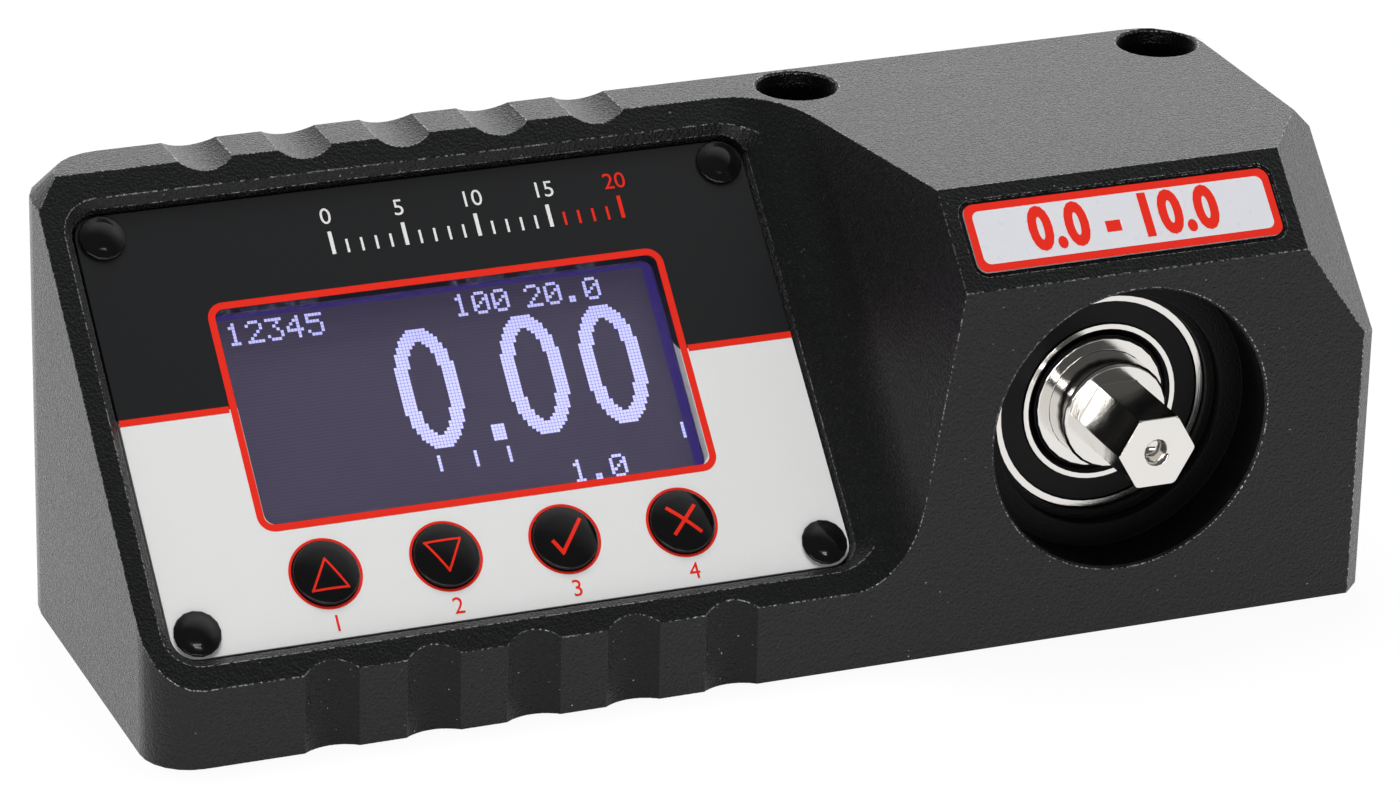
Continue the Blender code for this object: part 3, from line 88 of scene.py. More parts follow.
def finished_copy(node, body, angle, edge=0.0, flats=True, edge_finish=None):
    """A merged copy of a solid, with smooth round faces and broken edges, in its place."""
    bpy.ops.object.select_all(action="DESELECT")
    piece = nodes[node].copy()
    piece.data = nodes[node].data.copy()
    piece.parent = None
    piece.name = node + "_finished"
    bpy.context.scene.collection.objects.link(piece)
    bpy.context.view_layer.objects.active = piece
    piece.select_set(True)
    bpy.ops.object.mode_set(mode="EDIT")
    bpy.ops.mesh.select_all(action="SELECT")
    bpy.ops.mesh.remove_doubles(threshold=1e-6)
    bpy.ops.mesh.dissolve_limited(angle_limit=math.radians(0.3))
    bpy.ops.object.mode_set(mode="OBJECT")
    if edge:
        bevel = piece.modifiers.new("broken_edges", "BEVEL")
        bevel.limit_method = "ANGLE"
        bevel.angle_limit = math.radians(angle)
        bevel.width = edge
        bevel.segments = 2
        bevel.use_clamp_overlap = False
        if edge_finish:
            while len(piece.data.materials) < 2:
                piece.data.materials.append(edge_finish)
            bevel.material = EDGE_SLOT
        bpy.ops.object.modifier_apply(modifier=bevel.name)
    bpy.ops.object.shade_smooth_by_angle(angle=math.radians(angle))
    if flats:
        even = piece.modifiers.new("even_flats", "WEIGHTED_NORMAL")
        even.keep_sharp = True
        even.weight = 80
        bpy.ops.object.modifier_apply(modifier=even.name)
    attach(piece, body)
    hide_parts(node)
    return piece


def new_finish(name, colour, roughness, metallic=0.0):
    """A material of one shader, and its node tree and shader to build on."""
    made = bpy.data.materials.new(name)
    made.use_nodes = True
    shader = made.node_tree.nodes["Principled BSDF"]
    shader.inputs["Base Color"].default_value = colour
    shader.inputs["Roughness"].default_value = roughness
    shader.inputs["Metallic"].default_value = metallic
    return made, made.node_tree, shader


def object_noise(tree, scale, detail=2.0, stretch=(1.0, 1.0, 1.0)):
    """Noise that is fixed to the piece, stretched along its axes where asked."""
    place = tree.nodes.new("ShaderNodeTexCoord")
    mapping = tree.nodes.new("ShaderNodeMapping")
    mapping.inputs["Scale"].default_value = stretch
    noise = tree.nodes.new("ShaderNodeTexNoise")
    noise.inputs["Scale"].default_value = scale
    noise.inputs["Detail"].default_value = detail
    tree.links.new(place.outputs["Object"], mapping.inputs["Vector"])
    tree.links.new(mapping.outputs["Vector"], noise.inputs["Vector"])
    return noise


def add_bump(tree, shader, height, strength, distance):
    bump = tree.nodes.new("ShaderNodeBump")
    bump.inputs["Strength"].default_value = strength
    bump.inputs["Distance"].default_value = distance
    tree.links.new(height.outputs["Fac"], bump.inputs["Height"])
    tree.links.new(bump.outputs["Normal"], shader.inputs["Normal"])


def spread(tree, source, low, high, low_out, high_out):
    """A node's value between two limits, spread to a new range."""
    ramp = tree.nodes.new("ShaderNodeMapRange")
    ramp.inputs["From Min"].default_value = low
    ramp.inputs["From Max"].default_value = high
    ramp.inputs["To Min"].default_value = low_out
    ramp.inputs["To Max"].default_value = high_out
    tree.links.new(source, ramp.inputs["Value"])
    return ramp.outputs["Result"]


def blend_colours(tree, factor, first, second):
    mix = tree.nodes.new("ShaderNodeMix")
    mix.data_type = "RGBA"
    mix.inputs["A"].default_value = first
    mix.inputs["B"].default_value = second
    tree.links.new(factor, mix.inputs["Factor"])
    return mix.outputs["Result"]


def paint(piece, material):
    piece.data.materials.clear()
    piece.data.materials.append(material)


def textured_coat(name, wear, bare_colour, specular=COAT_SPECULAR, sheen=COAT_SHEEN):
    """The coat's finish. Bare metal comes in where its speckle noise passes the wear limits."""
    made, tree, shader = new_finish(name, COAT_COLOUR, COAT_ROUGHNESS)
    shader.inputs["Specular IOR Level"].default_value = specular
    shader.inputs["Sheen Weight"].default_value = sheen
    shader.inputs["Sheen Roughness"].default_value = 0.30
    grain = object_noise(tree, COAT_GRAIN)
    add_bump(tree, shader, grain, 1.0, COAT_BUMP)
    specks = object_noise(tree, SPECK_GRAIN, 0.0)
    bare = spread(tree, specks.outputs["Fac"], *wear, 0.0, 1.0)
    colour = blend_colours(tree, bare, COAT_COLOUR, bare_colour)
    tree.links.new(colour, shader.inputs["Base Color"])
    tree.links.new(bare, shader.inputs["Metallic"])
    least, most = COAT_ROUGHNESS - 0.03, COAT_ROUGHNESS + 0.03
    uneven = spread(tree, grain.outputs["Fac"], 0.3, 0.7, least, most)
    tree.links.new(uneven, shader.inputs["Roughness"])
    return made


coat = textured_coat("textured_coat", BARE_SPECKS, COAT_SPECK)
worn_coat = textured_coat("worn_coat", WORN_SPECKS, WORN_METAL)
# Painted shade: the pocket's walls get a darker coat with less gloss than the rest of the housing.
painted_pocket_shade, tree, shader = new_finish("painted_pocket_shade", POCKET_SHADE_COLOUR, 0.45)
shader.inputs["Specular IOR Level"].default_value = POCKET_SPECULAR
add_bump(tree, shader, object_noise(tree, COAT_GRAIN), 0.6, COAT_BUMP)
# Painted shade: the grooves in the lip get a coat with less gloss and sheen, so they read darker
# than the lands.
groove_shade_coat = textured_coat("groove_shade_coat", BARE_SPECKS, COAT_SPECK, GROOVE_SPECULAR, GROOVE_SHEEN)

housing = finished_copy("housing", "tester", SMOOTH_ANGLE, HOUSING_EDGE,
                        edge_finish=worn_coat)
housing.data.materials[COAT_SLOT] = coat
housing.data.materials.append(painted_pocket_shade)
housing.data.materials.append(groove_shade_coat)
# Faces inside the pocket take the painted-shade coat, and the faces of the lip's grooves the
# duller painted-shade coat.
for face in housing.data.polygons:
    x, y, z = face.center
    from_axis = math.hypot(x - DRIVE_AXIS_X, z - DRIVE_AXIS_Z)
    in_pocket = from_axis < POCKET_RADIUS and POCKET_FRONT < y < POCKET_BACK
    in_lip = GROOVES_FROM_X < x < GROOVES_TO_X and y < GROOVES_BACK
    if in_pocket:
        face.material_index = POCKET_SHADE_SLOT
    elif in_lip and abs(face.normal.z) < 0.05:
        if face.material_index == EDGE_SLOT:
            face.material_index = COAT_SLOT
        elif abs(face.normal.x) > 0.02:
            face.material_index = GROOVE_SHADE_SLOT
paint(finished_copy("base_cover", "tester", SMOOTH_ANGLE), coat)


# Steel: the drive shaft, the bearing's rings, the flange and the cover's screws are ground
# or turned bright. Turning leaves fine rings round the drive's axis, so the marks are drawn
# from the distance to it and along it. The shaft turns with the inner ring.
STEEL_COLOUR = (0.78, 0.76, 0.73, 1.0)
SHADED_STEEL = (0.020, 0.020, 0.020, 1.0)
TURNING_MARKS = 9000.0


def vary_roughness(tree, shader, scale, least, most, detail=2.0):
    """Lets the roughness wander between two values, as it does on a real surface."""
    noise = object_noise(tree, scale, detail)
    uneven = spread(tree, noise.outputs["Fac"], 0.3, 0.7, least, most)
    tree.links.new(uneven, shader.inputs["Roughness"])


steel, tree, shader = new_finish("bright_steel", STEEL_COLOUR, 0.20, 1.0)
shader.inputs["Anisotropic"].default_value = 0.4
around = tree.nodes.new("ShaderNodeTangent")
around.direction_type = "RADIAL"
around.axis = "Y"
tree.links.new(around.outputs["Tangent"], shader.inputs["Tangent"])
place = tree.nodes.new("ShaderNodeTexCoord")
lay = tree.nodes.new("ShaderNodeMapping")
lay.inputs["Location"].default_value = (-DRIVE_AXIS_X, 0.0, -DRIVE_AXIS_Z)
tree.links.new(place.outputs["Object"], lay.inputs["Vector"])
rings = tree.nodes.new("ShaderNodeTexNoise")
rings.noise_dimensions = "1D"
rings.inputs["Scale"].default_value = TURNING_MARKS
split = tree.nodes.new("ShaderNodeSeparateXYZ")
tree.links.new(lay.outputs["Vector"], split.inputs["Vector"])
across = tree.nodes.new("ShaderNodeCombineXYZ")
tree.links.new(split.outputs["X"], across.inputs["X"])
tree.links.new(split.outputs["Z"], across.inputs["Z"])
radius = tree.nodes.new("ShaderNodeVectorMath")
radius.operation = "LENGTH"
tree.links.new(across.outputs["Vector"], radius.inputs["Vector"])
along = tree.nodes.new("ShaderNodeMath")
tree.links.new(radius.outputs["Value"], along.inputs[0])
tree.links.new(split.outputs["Y"], along.inputs[1])
tree.links.new(along.outputs["Value"], rings.inputs["W"])
add_bump(tree, shader, rings, 0.22, 0.00002)
vary_roughness(tree, shader, 180.0, 0.06, 0.16, 3.0)
paint(finished_copy("drive_shaft", "drive", 28, 0.00012), steel)
# Painted shade: the bearing rings' chamfers, bores and sides take a near-black steel, and only
# their flat end faces the bright steel.
shaded_steel, tree, shader = new_finish("shaded_steel", SHADED_STEEL, 0.35, 1.0)
vary_roughness(tree, shader, 700.0, 0.30, 0.42)
for ring, body in (("bearing_outer_ring", "tester"), ("bearing_inner_ring", "drive")):
    piece = finished_copy(ring, body, 30)
    paint(piece, steel)
    piece.data.materials.append(shaded_steel)
    for face in piece.data.polygons:
        face.material_index = 0 if abs(face.normal.y) > 0.95 else 1
paint(finished_copy("drive_flange", "tester", 30), steel)
for number in range(1, 5):
    paint(finished_copy(f"base_screw_{number}", "tester", 30), steel)


# Bearing seals: moulded nitrile rubber on a steel disc, snapped in on both sides, with a
# few shallow rings moulded in. The cage and its balls run between them.
seal_finish, tree, shader = new_finish("seal_rubber", (0.005, 0.005, 0.0055, 1.0), 0.42)
shader.inputs["Specular IOR Level"].default_value = 0.14
add_bump(tree, shader, object_noise(tree, 900.0), 0.25, 0.00004)
for side in ("front", "rear"):
    paint(finished_copy(f"bearing_seal_{side}", "tester", 30, 0.0001), seal_finish)
cage_finish, tree, shader = new_finish("cage_brass", (0.62, 0.45, 0.20, 1.0), 0.35, 1.0)
vary_roughness(tree, shader, 500.0, 0.25, 0.45)
paint(finished_copy("ball_cage", "balls", 40), cage_finish)


# Flange screws: four socket-headed screws of blackened steel with an oily sheen. They hold
# the drive's flange to the back of the housing.
black_screw, tree, shader = new_finish("blackened_steel", (0.03, 0.03, 0.032, 1.0), 0.35, 0.6)
vary_roughness(tree, shader, 700.0, 0.28, 0.46)
for number in range(1, 5):
    paint(finished_copy(f"flange_screw_{number}", "tester", 30), black_screw)


# Front panel: a flat plate under a printed film, held by the caps in its corners. The film is
# matt black above and off-white below, with red lines printed between the two fields and
# round the openings, and a plain number under each key.
SLOPE_ANGLE = math.atan2(0.0532, 0.0539)
SLOPE_FOOT = Vector((-0.0894, -0.02835, 0.0115))
PANEL_CENTRE_X = 0.0533
PANEL_TOP = -0.0020
DISPLAY_RISE = 0.0383
DIVIDE_RISE = 0.03965
PRINT_BLACK = (0.0085, 0.0090, 0.0098, 1.0)
PRINT_WHITE = (0.68, 0.68, 0.675, 1.0)
PRINT_RED = (0.70, 0.020, 0.008, 1.0)
PRINT_GRAIN = 2200.0
LINE_HEIGHT = 0.00003
DISPLAY_LINE = (0.0662, 0.0338, 0.0024, 0.0010)
DIVIDE_ENDS = (0.00465, 0.10195)
DIVIDE_LENGTH = 0.0154
DIVIDE_STROKE = 0.00095
KEY_PITCH = 0.01708
KEY_RISE = 0.0145
KEY_RING = 0.01025
KEY_RING_STROKE = 0.00037
FIGURE_SIZE = 0.0034
KEY_NUMBER_RISE = 0.0072


def set_in_place(piece, tilt, place):
    """Tilts a piece drawn flat at the origin, moves it to its place and applies both."""
    piece.rotation_euler = (tilt, 0.0, 0.0)
    piece.location = place
    bpy.ops.object.select_all(action="DESELECT")
    bpy.context.view_layer.objects.active = piece
    piece.select_set(True)
    bpy.ops.object.transform_apply(location=True, rotation=True, scale=True)


def lay_on_slope(piece, x, rise, height):
    """Lays a piece on the slope, from its left end, its foot and its face."""
    along = Vector((0.0, math.cos(SLOPE_ANGLE), math.sin(SLOPE_ANGLE)))
    out = Vector((0.0, -math.sin(SLOPE_ANGLE), math.cos(SLOPE_ANGLE)))
    place = SLOPE_FOOT + Vector((x, 0.0, 0.0)) + along * rise + out * height
    set_in_place(piece, SLOPE_ANGLE, place)


def close_mesh(rise):
    """Raises the mesh being edited by a small height into a closed flat solid."""
    bpy.ops.mesh.extrude_region_move(TRANSFORM_OT_translate={"value": (0, 0, rise)})
    bpy.ops.mesh.select_all(action="SELECT")
    bpy.ops.mesh.normals_make_consistent(inside=False)
    bpy.ops.object.mode_set(mode="OBJECT")


def printed_frame(name, length, width, radius, stroke):
    """A flat printed frame: a rounded rectangle, or a circle where the sizes are equal. With
    no stroke it is a full plate."""
    bpy.ops.object.select_all(action="DESELECT")
    if length == width:
        bpy.ops.mesh.primitive_circle_add(vertices=96, radius=length / 2, fill_type="NGON")
    else:
        bpy.ops.mesh.primitive_plane_add(size=1.0)
    piece = bpy.context.object
    piece.name = name
    bpy.ops.object.mode_set(mode="EDIT")
    bpy.ops.mesh.select_all(action="SELECT")
    if length != width:
        bpy.ops.transform.resize(value=(length, width, 1.0))
        bpy.ops.mesh.bevel(offset=radius, segments=10, affect="VERTICES")
        bpy.ops.mesh.select_all(action="SELECT")
    if stroke:
        bpy.ops.mesh.inset(thickness=stroke)
        bpy.ops.mesh.delete(type="FACE")
        bpy.ops.mesh.select_all(action="SELECT")
    close_mesh(LINE_HEIGHT)
    return piece


def flat_bar(name, length, width, height=LINE_HEIGHT, steps=1):
    """A flat printed bar with its ends square, drawn at the origin."""
    bpy.ops.object.select_all(action="DESELECT")
    bpy.ops.mesh.primitive_grid_add(x_subdivisions=steps, y_subdivisions=1, size=1.0)
    piece = bpy.context.object
    piece.name = name
    bpy.ops.object.mode_set(mode="EDIT")
    bpy.ops.mesh.select_all(action="SELECT")
    bpy.ops.transform.resize(value=(length, width, 1.0))
    close_mesh(height)
    return piece


film, tree, shader = new_finish("printed_film", PRINT_WHITE, 0.38)
place = tree.nodes.new("ShaderNodeTexCoord")
split = tree.nodes.new("ShaderNodeSeparateXYZ")
tree.links.new(place.outputs["Object"], split.inputs["Vector"])
divide_z = SLOPE_FOOT.z + DIVIDE_RISE * math.sin(SLOPE_ANGLE)
divide_z += PANEL_TOP * math.cos(SLOPE_ANGLE)
upper = spread(tree, split.outputs["Z"], divide_z - 0.00001, divide_z + 0.00001, 0.0, 1.0)
tree.links.new(blend_colours(tree, upper, PRINT_WHITE, PRINT_BLACK), shader.inputs["Base Color"])
tree.links.new(spread(tree, upper, 0.0, 1.0, 0.34, 0.30), shader.inputs["Roughness"])
add_bump(tree, shader, object_noise(tree, PRINT_GRAIN), 0.12, 0.00003)
paint(finished_copy("front_panel", "tester", 30, 0.00015), film)

red_print, tree, shader = new_finish("red_print", PRINT_RED, 0.40)
shader.inputs["Specular IOR Level"].default_value = 0.3
vary_roughness(tree, shader, PRINT_GRAIN, 0.36, 0.46)
white_print, tree, shader = new_finish("white_print", PRINT_WHITE, 0.40)
vary_roughness(tree, shader, PRINT_GRAIN, 0.36, 0.46)


def printed(piece, material, x, rise):
    """Lays a printed mark on the panel and fixes it to the tester."""
    lay_on_slope(piece, x, rise, PANEL_TOP)
    paint(piece, material)
    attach(piece, "tester")


printed(printed_frame("display_line", *DISPLAY_LINE), red_print, PANEL_CENTRE_X, DISPLAY_RISE)
left_end, right_end = DIVIDE_ENDS
divide_x = (left_end + DIVIDE_LENGTH / 2, right_end - DIVIDE_LENGTH / 2)
for number, x in enumerate(divide_x, 1):
    line = flat_bar(f"divide_line_{number}", DIVIDE_LENGTH, DIVIDE_STROKE)
    printed(line, red_print, x, DIVIDE_RISE)
key_x = [PANEL_CENTRE_X + KEY_PITCH * (number - 1.5) for number in range(4)]
for number, x in enumerate(key_x, 1):
    ring = printed_frame(f"key_ring_{number}", KEY_RING, KEY_RING, 0.0, KEY_RING_STROKE)
    printed(ring, red_print, x, KEY_RISE)


def printed_text(name, words, size, stretch=1.0, swell=0.0):
    """Plain figures from the built-in face, swollen where they are to be bold, as a mesh."""
    bpy.ops.object.select_all(action="DESELECT")
    bpy.ops.object.text_add()
    piece = bpy.context.object
    piece.name = name
    piece.data.body = words
    piece.data.size = size
    piece.data.align_x = "CENTER"
    piece.data.align_y = "CENTER"
    piece.data.extrude = LINE_HEIGHT / 2
    piece.data.resolution_u = 4
    piece.data.offset = swell
    piece.data.space_character = 1.0 + 2.2 * swell / size
    bpy.ops.object.convert(target="MESH")
    piece = bpy.context.object
    bpy.ops.object.mode_set(mode="EDIT")
    bpy.ops.mesh.select_all(action="SELECT")
    bpy.ops.transform.translate(value=(0, 0, LINE_HEIGHT / 2))
    bpy.ops.transform.resize(value=(stretch, 1.0, 1.0), center_override=(0, 0, 0))
    bpy.ops.mesh.remove_doubles(threshold=1e-7)
    bpy.ops.object.mode_set(mode="OBJECT")
    return piece


for number, x in enumerate(key_x, 1):
    figure = printed_text(f"key_number_{number}", str(number), FIGURE_SIZE)
    printed(figure, red_print, x, KEY_NUMBER_RISE)


# Scale: a plain one at the top of the panel, printed on its film. It has 21 ticks, white
# ones with a red end, and a figure over every fifth.
SCALE_LEFT = 0.0400
SCALE_STEP = 0.00212
SCALE_RISE = 0.0602
SCALE_FIGURE_RISE = SCALE_RISE + 0.0056
LONG_TICK = (0.00055, 0.0034)
SHORT_TICK = (0.00035, 0.0020)
FIRST_RED_TICK = 16
for number in range(21):
    stroke, height = SHORT_TICK if number % 5 else LONG_TICK
    ink = red_print if number >= FIRST_RED_TICK else white_print
    x = SCALE_LEFT + SCALE_STEP * number
    printed(flat_bar(f"scale_tick_{number}", stroke, height), ink, x, SCALE_RISE + height / 2)
for number in range(5):
    figure = printed_text(f"scale_figure_{number}", str(number * 5), FIGURE_SIZE)
    ink = red_print if number * 5 >= FIRST_RED_TICK else white_print
    printed(figure, ink, SCALE_LEFT + SCALE_STEP * 5 * number, SCALE_FIGURE_RISE)


# Panel caps: four moulded black pins with a low glossy dome and a rounded rim. They are
# pushed through the panel's corners into the housing.
GLOSS_COLOUR = (0.004, 0.004, 0.0045, 1.0)
RIM_ANGLE = 40
RIM_EDGE = 0.00025
gloss, tree, shader = new_finish("black_gloss", GLOSS_COLOUR, 0.13)
shader.inputs["Specular IOR Level"].default_value = 0.4
vary_roughness(tree, shader, 400.0, 0.10, 0.17)


def glossy_copy(node, body):
    piece = finished_copy(node, body, RIM_ANGLE, RIM_EDGE, flats=False)
    paint(piece, gloss)


for number in range(1, 5):
    glossy_copy(f"panel_cap_{number}", "tester")


# Keys: four round black caps, domed and glossy, each with a thin red sign that follows its
# dome. Each slides in its hole in the panel, onto its switch, and its sign goes with it.
KEY_FACE = PANEL_TOP + 0.0005
KEY_DOME = 0.0006
KEY_RADIUS = 0.0046
THIN_STROKE = 0.00031
BOLD_STROKE = 0.00052
SIGN_HEIGHT = 0.00005
STROKE_STEPS = 14
key_bodies = {
    "key_up": "up_button",
    "key_down": "down_button",
    "key_confirm": "confirm_button",
    "key_cancel": "cancel_button",
}
for name, body in key_bodies.items():
    glossy_copy(name, body)


def joined(pieces):
    """One mesh of several pieces, under the first one's name."""
    bpy.ops.object.select_all(action="DESELECT")
    for piece in pieces:
        piece.select_set(True)
    bpy.context.view_layer.objects.active = pieces[0]
    if len(pieces) > 1:
        bpy.ops.object.join()
    return bpy.context.view_layer.objects.active


def stroke_between(points, closed, stroke):
    """Flat bars of one width from point to point, joined as one mesh, mitred by overlap."""
    ends = points[1:] + points[:1] if closed else points[1:]
    bars = []
    for start, end in zip(points, ends):
        start, end = Vector(start), Vector(end)
        length = (end - start).length + stroke
        bar = flat_bar("stroke", length, stroke, SIGN_HEIGHT, STROKE_STEPS)
        bar.rotation_euler.z = math.atan2(end.y - start.y, end.x - start.x)
        bar.location = ((start.x + end.x) / 2, (start.y + end.y) / 2, 0.0)
        bars.append(bar)
    piece = joined(bars)
    bpy.ops.object.transform_apply(location=True, rotation=True, scale=True)
    return piece


signs = {
    "key_up": ([(-0.00252, -0.0025), (0.00252, -0.0025), (0.0, 0.00177)], True),
    "key_down": ([(-0.0028, 0.0020), (0.00224, 0.0020), (-0.00028, -0.0024)], True),
    "key_confirm": ([(-0.0020, -0.0005), (-0.0010, -0.0022), (0.0024, 0.0022)], False),
    "key_cancel": ([(-0.0016, -0.0018), (0.0019, 0.0018)], False),
}
second_cancel_stroke = [(-0.0019, 0.0019), (0.0020, -0.0019)]
dome_radius = (KEY_RADIUS**2 + KEY_DOME**2) / (2 * KEY_DOME)
for (name, body), x in zip(key_bodies.items(), key_x):
    points, closed = signs[name]
    stroke = THIN_STROKE if closed else BOLD_STROKE
    sign = stroke_between(points, closed, stroke)
    if name == "key_cancel":
        sign = joined([sign, stroke_between(second_cancel_stroke, False, stroke)])
    sign.name = name + "_sign"
    for vertex in sign.data.vertices:
        flat = math.hypot(vertex.co.x, vertex.co.y)
        vertex.co.z += math.sqrt(dome_radius**2 - flat**2) - dome_radius
    lay_on_slope(sign, x, KEY_RISE, KEY_FACE + KEY_DOME)
    paint(sign, red_print)
    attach(sign, body)


# Display: a dot-matrix cell of 128 by 64 dots, lit from behind, in a bent sheet frame under
# a clear pane, on a board of its own. The lit dots are pale violet. Over them and to their
# right the cell's rim glows deep blue.
DOT_PITCH = 0.000482
DOT_GAP = 0.00003
MATRIX_LEFT = 0.02300
MATRIX_TOP = 0.0543
GLASS_TOP = -0.00655
COLUMNS = 128
ROWS = 64
OVAL_POWER = 2.2
DOT_GLOW = (0.52, 0.52, 1.0, 1.0)
CELL_DARK = (0.062, 0.050, 0.098, 1.0)
CELL_PALE = (0.078, 0.064, 0.118, 1.0)
CELL_RIM = (0.050, 0.030, 0.230, 1.0)
DIGITS = {
    "0": "01110 10001 10011 10101 11001 10001 01110",
    "1": "00100 01100 00100 00100 00100 00100 01110",
    "2": "01110 10001 00001 00010 00100 01000 11111",
    "3": "11111 00010 00100 00010 00001 10001 01110",
    "4": "00010 00110 01010 10010 11111 00010 00010",
    "5": "11111 10000 11110 00001 00001 10001 01110",
    ".": "00000 00000 00000 00000 00000 01100 01100",
}
lit = set()


def write_small(words, column, row):
    """Figures five dots wide and seven high, one in every six columns."""
    for letter in words:
        for down, line in enumerate(DIGITS[letter].split()):
            for across, mark in enumerate(line):
                if mark == "1":
                    lit.add((column + across, row + down))
        column += 6


def fill_dots(left, top, columns, rows):
    """A full block of lit dots."""
    for across in range(columns):
        for down in range(rows):
            lit.add((left + across, top + down))


def inside_oval(across, down, half_width, half_height):
    return (across / half_width) ** 2 + abs(down / half_height) ** OVAL_POWER <= 1


def write_zero(left, top):
    """A tall nought, 18 dots wide and 37 high, with a stroke of four dots."""
    for across in range(18):
        for down in range(37):
            place = (across - 8.5, down - 18)
            if inside_oval(*place, 9.2, 18.9) and not inside_oval(*place, 5.0, 14.2):
                lit.add((left + across, top + down))


for left in (47, 79, 103):
    write_zero(left, 10)
fill_dots(71, 42, 4, 5)
for column in (53, 64, 74, 127):
    fill_dots(column, 49, 1, 5)
write_small("12345", 1, 1)
write_small("100", 69, 1)
write_small("20.0", 91, 1)
write_small("1.0", 91, 56)

bpy.ops.object.select_all(action="DESELECT")
bpy.ops.mesh.primitive_grid_add(x_subdivisions=COLUMNS, y_subdivisions=ROWS, size=1.0)
dots = bpy.context.object
dots.name = "lit_dots"
bpy.ops.object.mode_set(mode="EDIT")
bpy.ops.mesh.select_all(action="SELECT")
bpy.ops.transform.resize(value=(COLUMNS * DOT_PITCH, ROWS * DOT_PITCH, 1.0))
bpy.ops.mesh.select_mode(type="FACE")
bpy.ops.mesh.select_all(action="DESELECT")
bpy.ops.object.mode_set(mode="OBJECT")
for face in dots.data.polygons:
    column = int((face.center.x + COLUMNS * DOT_PITCH / 2) / DOT_PITCH)
    row = int((ROWS * DOT_PITCH / 2 - face.center.y) / DOT_PITCH)
    face.select = (column, row) not in lit
bpy.ops.object.mode_set(mode="EDIT")
bpy.ops.mesh.delete(type="FACE")
bpy.ops.mesh.select_all(action="SELECT")
bpy.ops.mesh.edge_split(type="EDGE")
bpy.ops.mesh.select_all(action="SELECT")
bpy.ops.mesh.inset(thickness=DOT_GAP, use_individual=True)
bpy.ops.mesh.select_all(action="INVERT")
bpy.ops.mesh.delete(type="FACE")
bpy.ops.mesh.select_all(action="SELECT")
close_mesh(LINE_HEIGHT)
matrix_x = MATRIX_LEFT + COLUMNS * DOT_PITCH / 2
matrix_rise = MATRIX_TOP - ROWS * DOT_PITCH / 2
lay_on_slope(dots, matrix_x, matrix_rise, GLASS_TOP + 0.00002)
dot_finish, tree, shader = new_finish("lit_dot", (0.30, 0.30, 0.50, 1.0), 0.35)
shader.inputs["Emission Color"].default_value = DOT_GLOW
shader.inputs["Emission Strength"].default_value = 0.92
paint(dots, dot_finish)
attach(dots, "tester")

cell, tree, shader = new_finish("display_cell", (0.02, 0.02, 0.03, 1.0), 0.25)
place = tree.nodes.new("ShaderNodeTexCoord")
split = tree.nodes.new("ShaderNodeSeparateXYZ")
tree.links.new(place.outputs["Object"], split.inputs["Vector"])
matrix_edge_x = SLOPE_FOOT.x + MATRIX_LEFT + COLUMNS * DOT_PITCH
matrix_edge_z = SLOPE_FOOT.z + MATRIX_TOP * math.sin(SLOPE_ANGLE)
matrix_edge_z += GLASS_TOP * math.cos(SLOPE_ANGLE)
over_right = spread(tree, split.outputs["X"], matrix_edge_x, matrix_edge_x + 0.0001, 0.0, 1.0)
over_top = spread(tree, split.outputs["Z"], matrix_edge_z, matrix_edge_z + 0.0001, 0.0, 1.0)
either = tree.nodes.new("ShaderNodeMath")
either.operation = "MAXIMUM"
tree.links.new(over_right, either.inputs[0])
tree.links.new(over_top, either.inputs[1])
rows = tree.nodes.new("ShaderNodeTexWave")
rows.bands_direction = "Z"
rows.inputs["Scale"].default_value = 2 * math.pi / (DOT_PITCH * math.sin(SLOPE_ANGLE)) / 20
tree.links.new(place.outputs["Object"], rows.inputs["Vector"])
ground = blend_colours(tree, rows.outputs["Fac"], CELL_DARK, CELL_PALE)
mix = tree.nodes.new("ShaderNodeMix")
mix.data_type = "RGBA"
tree.links.new(either.outputs["Value"], mix.inputs["Factor"])
tree.links.new(ground, mix.inputs["A"])
mix.inputs["B"].default_value = CELL_RIM
tree.links.new(mix.outputs["Result"], shader.inputs["Emission Color"])
shader.inputs["Emission Strength"].default_value = 0.61
paint(nodes["display_glass"], cell)

pane, tree, shader = new_finish("clear_pane", (1.0, 1.0, 1.0, 1.0), 0.02)
shader.inputs["Transmission Weight"].default_value = 1.0
shader.inputs["IOR"].default_value = 1.05
paint(finished_copy("display_window", "tester", 30), pane)

tin, tree, shader = new_finish("tin_plate", (0.60, 0.60, 0.58, 1.0), 0.35, 1.0)
vary_roughness(tree, shader, 300.0, 0.28, 0.45)
paint(finished_copy("display_frame", "tester", 30), tin)
paint(finished_copy("data_socket", "tester", 30), tin)


# Inside the housing: green boards with their chips, switches under the keys, spacers, a
# buzzer, a sleeved battery pack and the gauge's grey lead. None of it shows from outside.
BOARD_GREEN = (0.02, 0.12, 0.05, 1.0)
TRACK_GREEN = (0.03, 0.17, 0.07, 1.0)
board, tree, shader = new_finish("board_green", BOARD_GREEN, 0.40)
tracks = object_noise(tree, 500.0, 0.0)
traced = spread(tree, tracks.outputs["Fac"], 0.49, 0.51, 0.0, 1.0)
green = blend_colours(tree, traced, BOARD_GREEN, TRACK_GREEN)
tree.links.new(green, shader.inputs["Base Color"])
for name in ("main_board", "display_board"):
    paint(nodes[name], board)
moulded, tree, shader = new_finish("black_moulding", (0.02, 0.02, 0.02, 1.0), 0.45)
add_bump(tree, shader, object_noise(tree, 1500.0), 0.2, 0.00003)
plain_names = ["buzzer", "power_socket"]
plain_names += [f"key_switch_{number}" for number in range(1, 5)]
plain_names += [f"board_spacer_{number}" for number in range(1, 5)]
for name in plain_names:
    paint(nodes[name], moulded)
sleeve, tree, shader = new_finish("shrink_sleeve", (0.02, 0.06, 0.22, 1.0), 0.30)
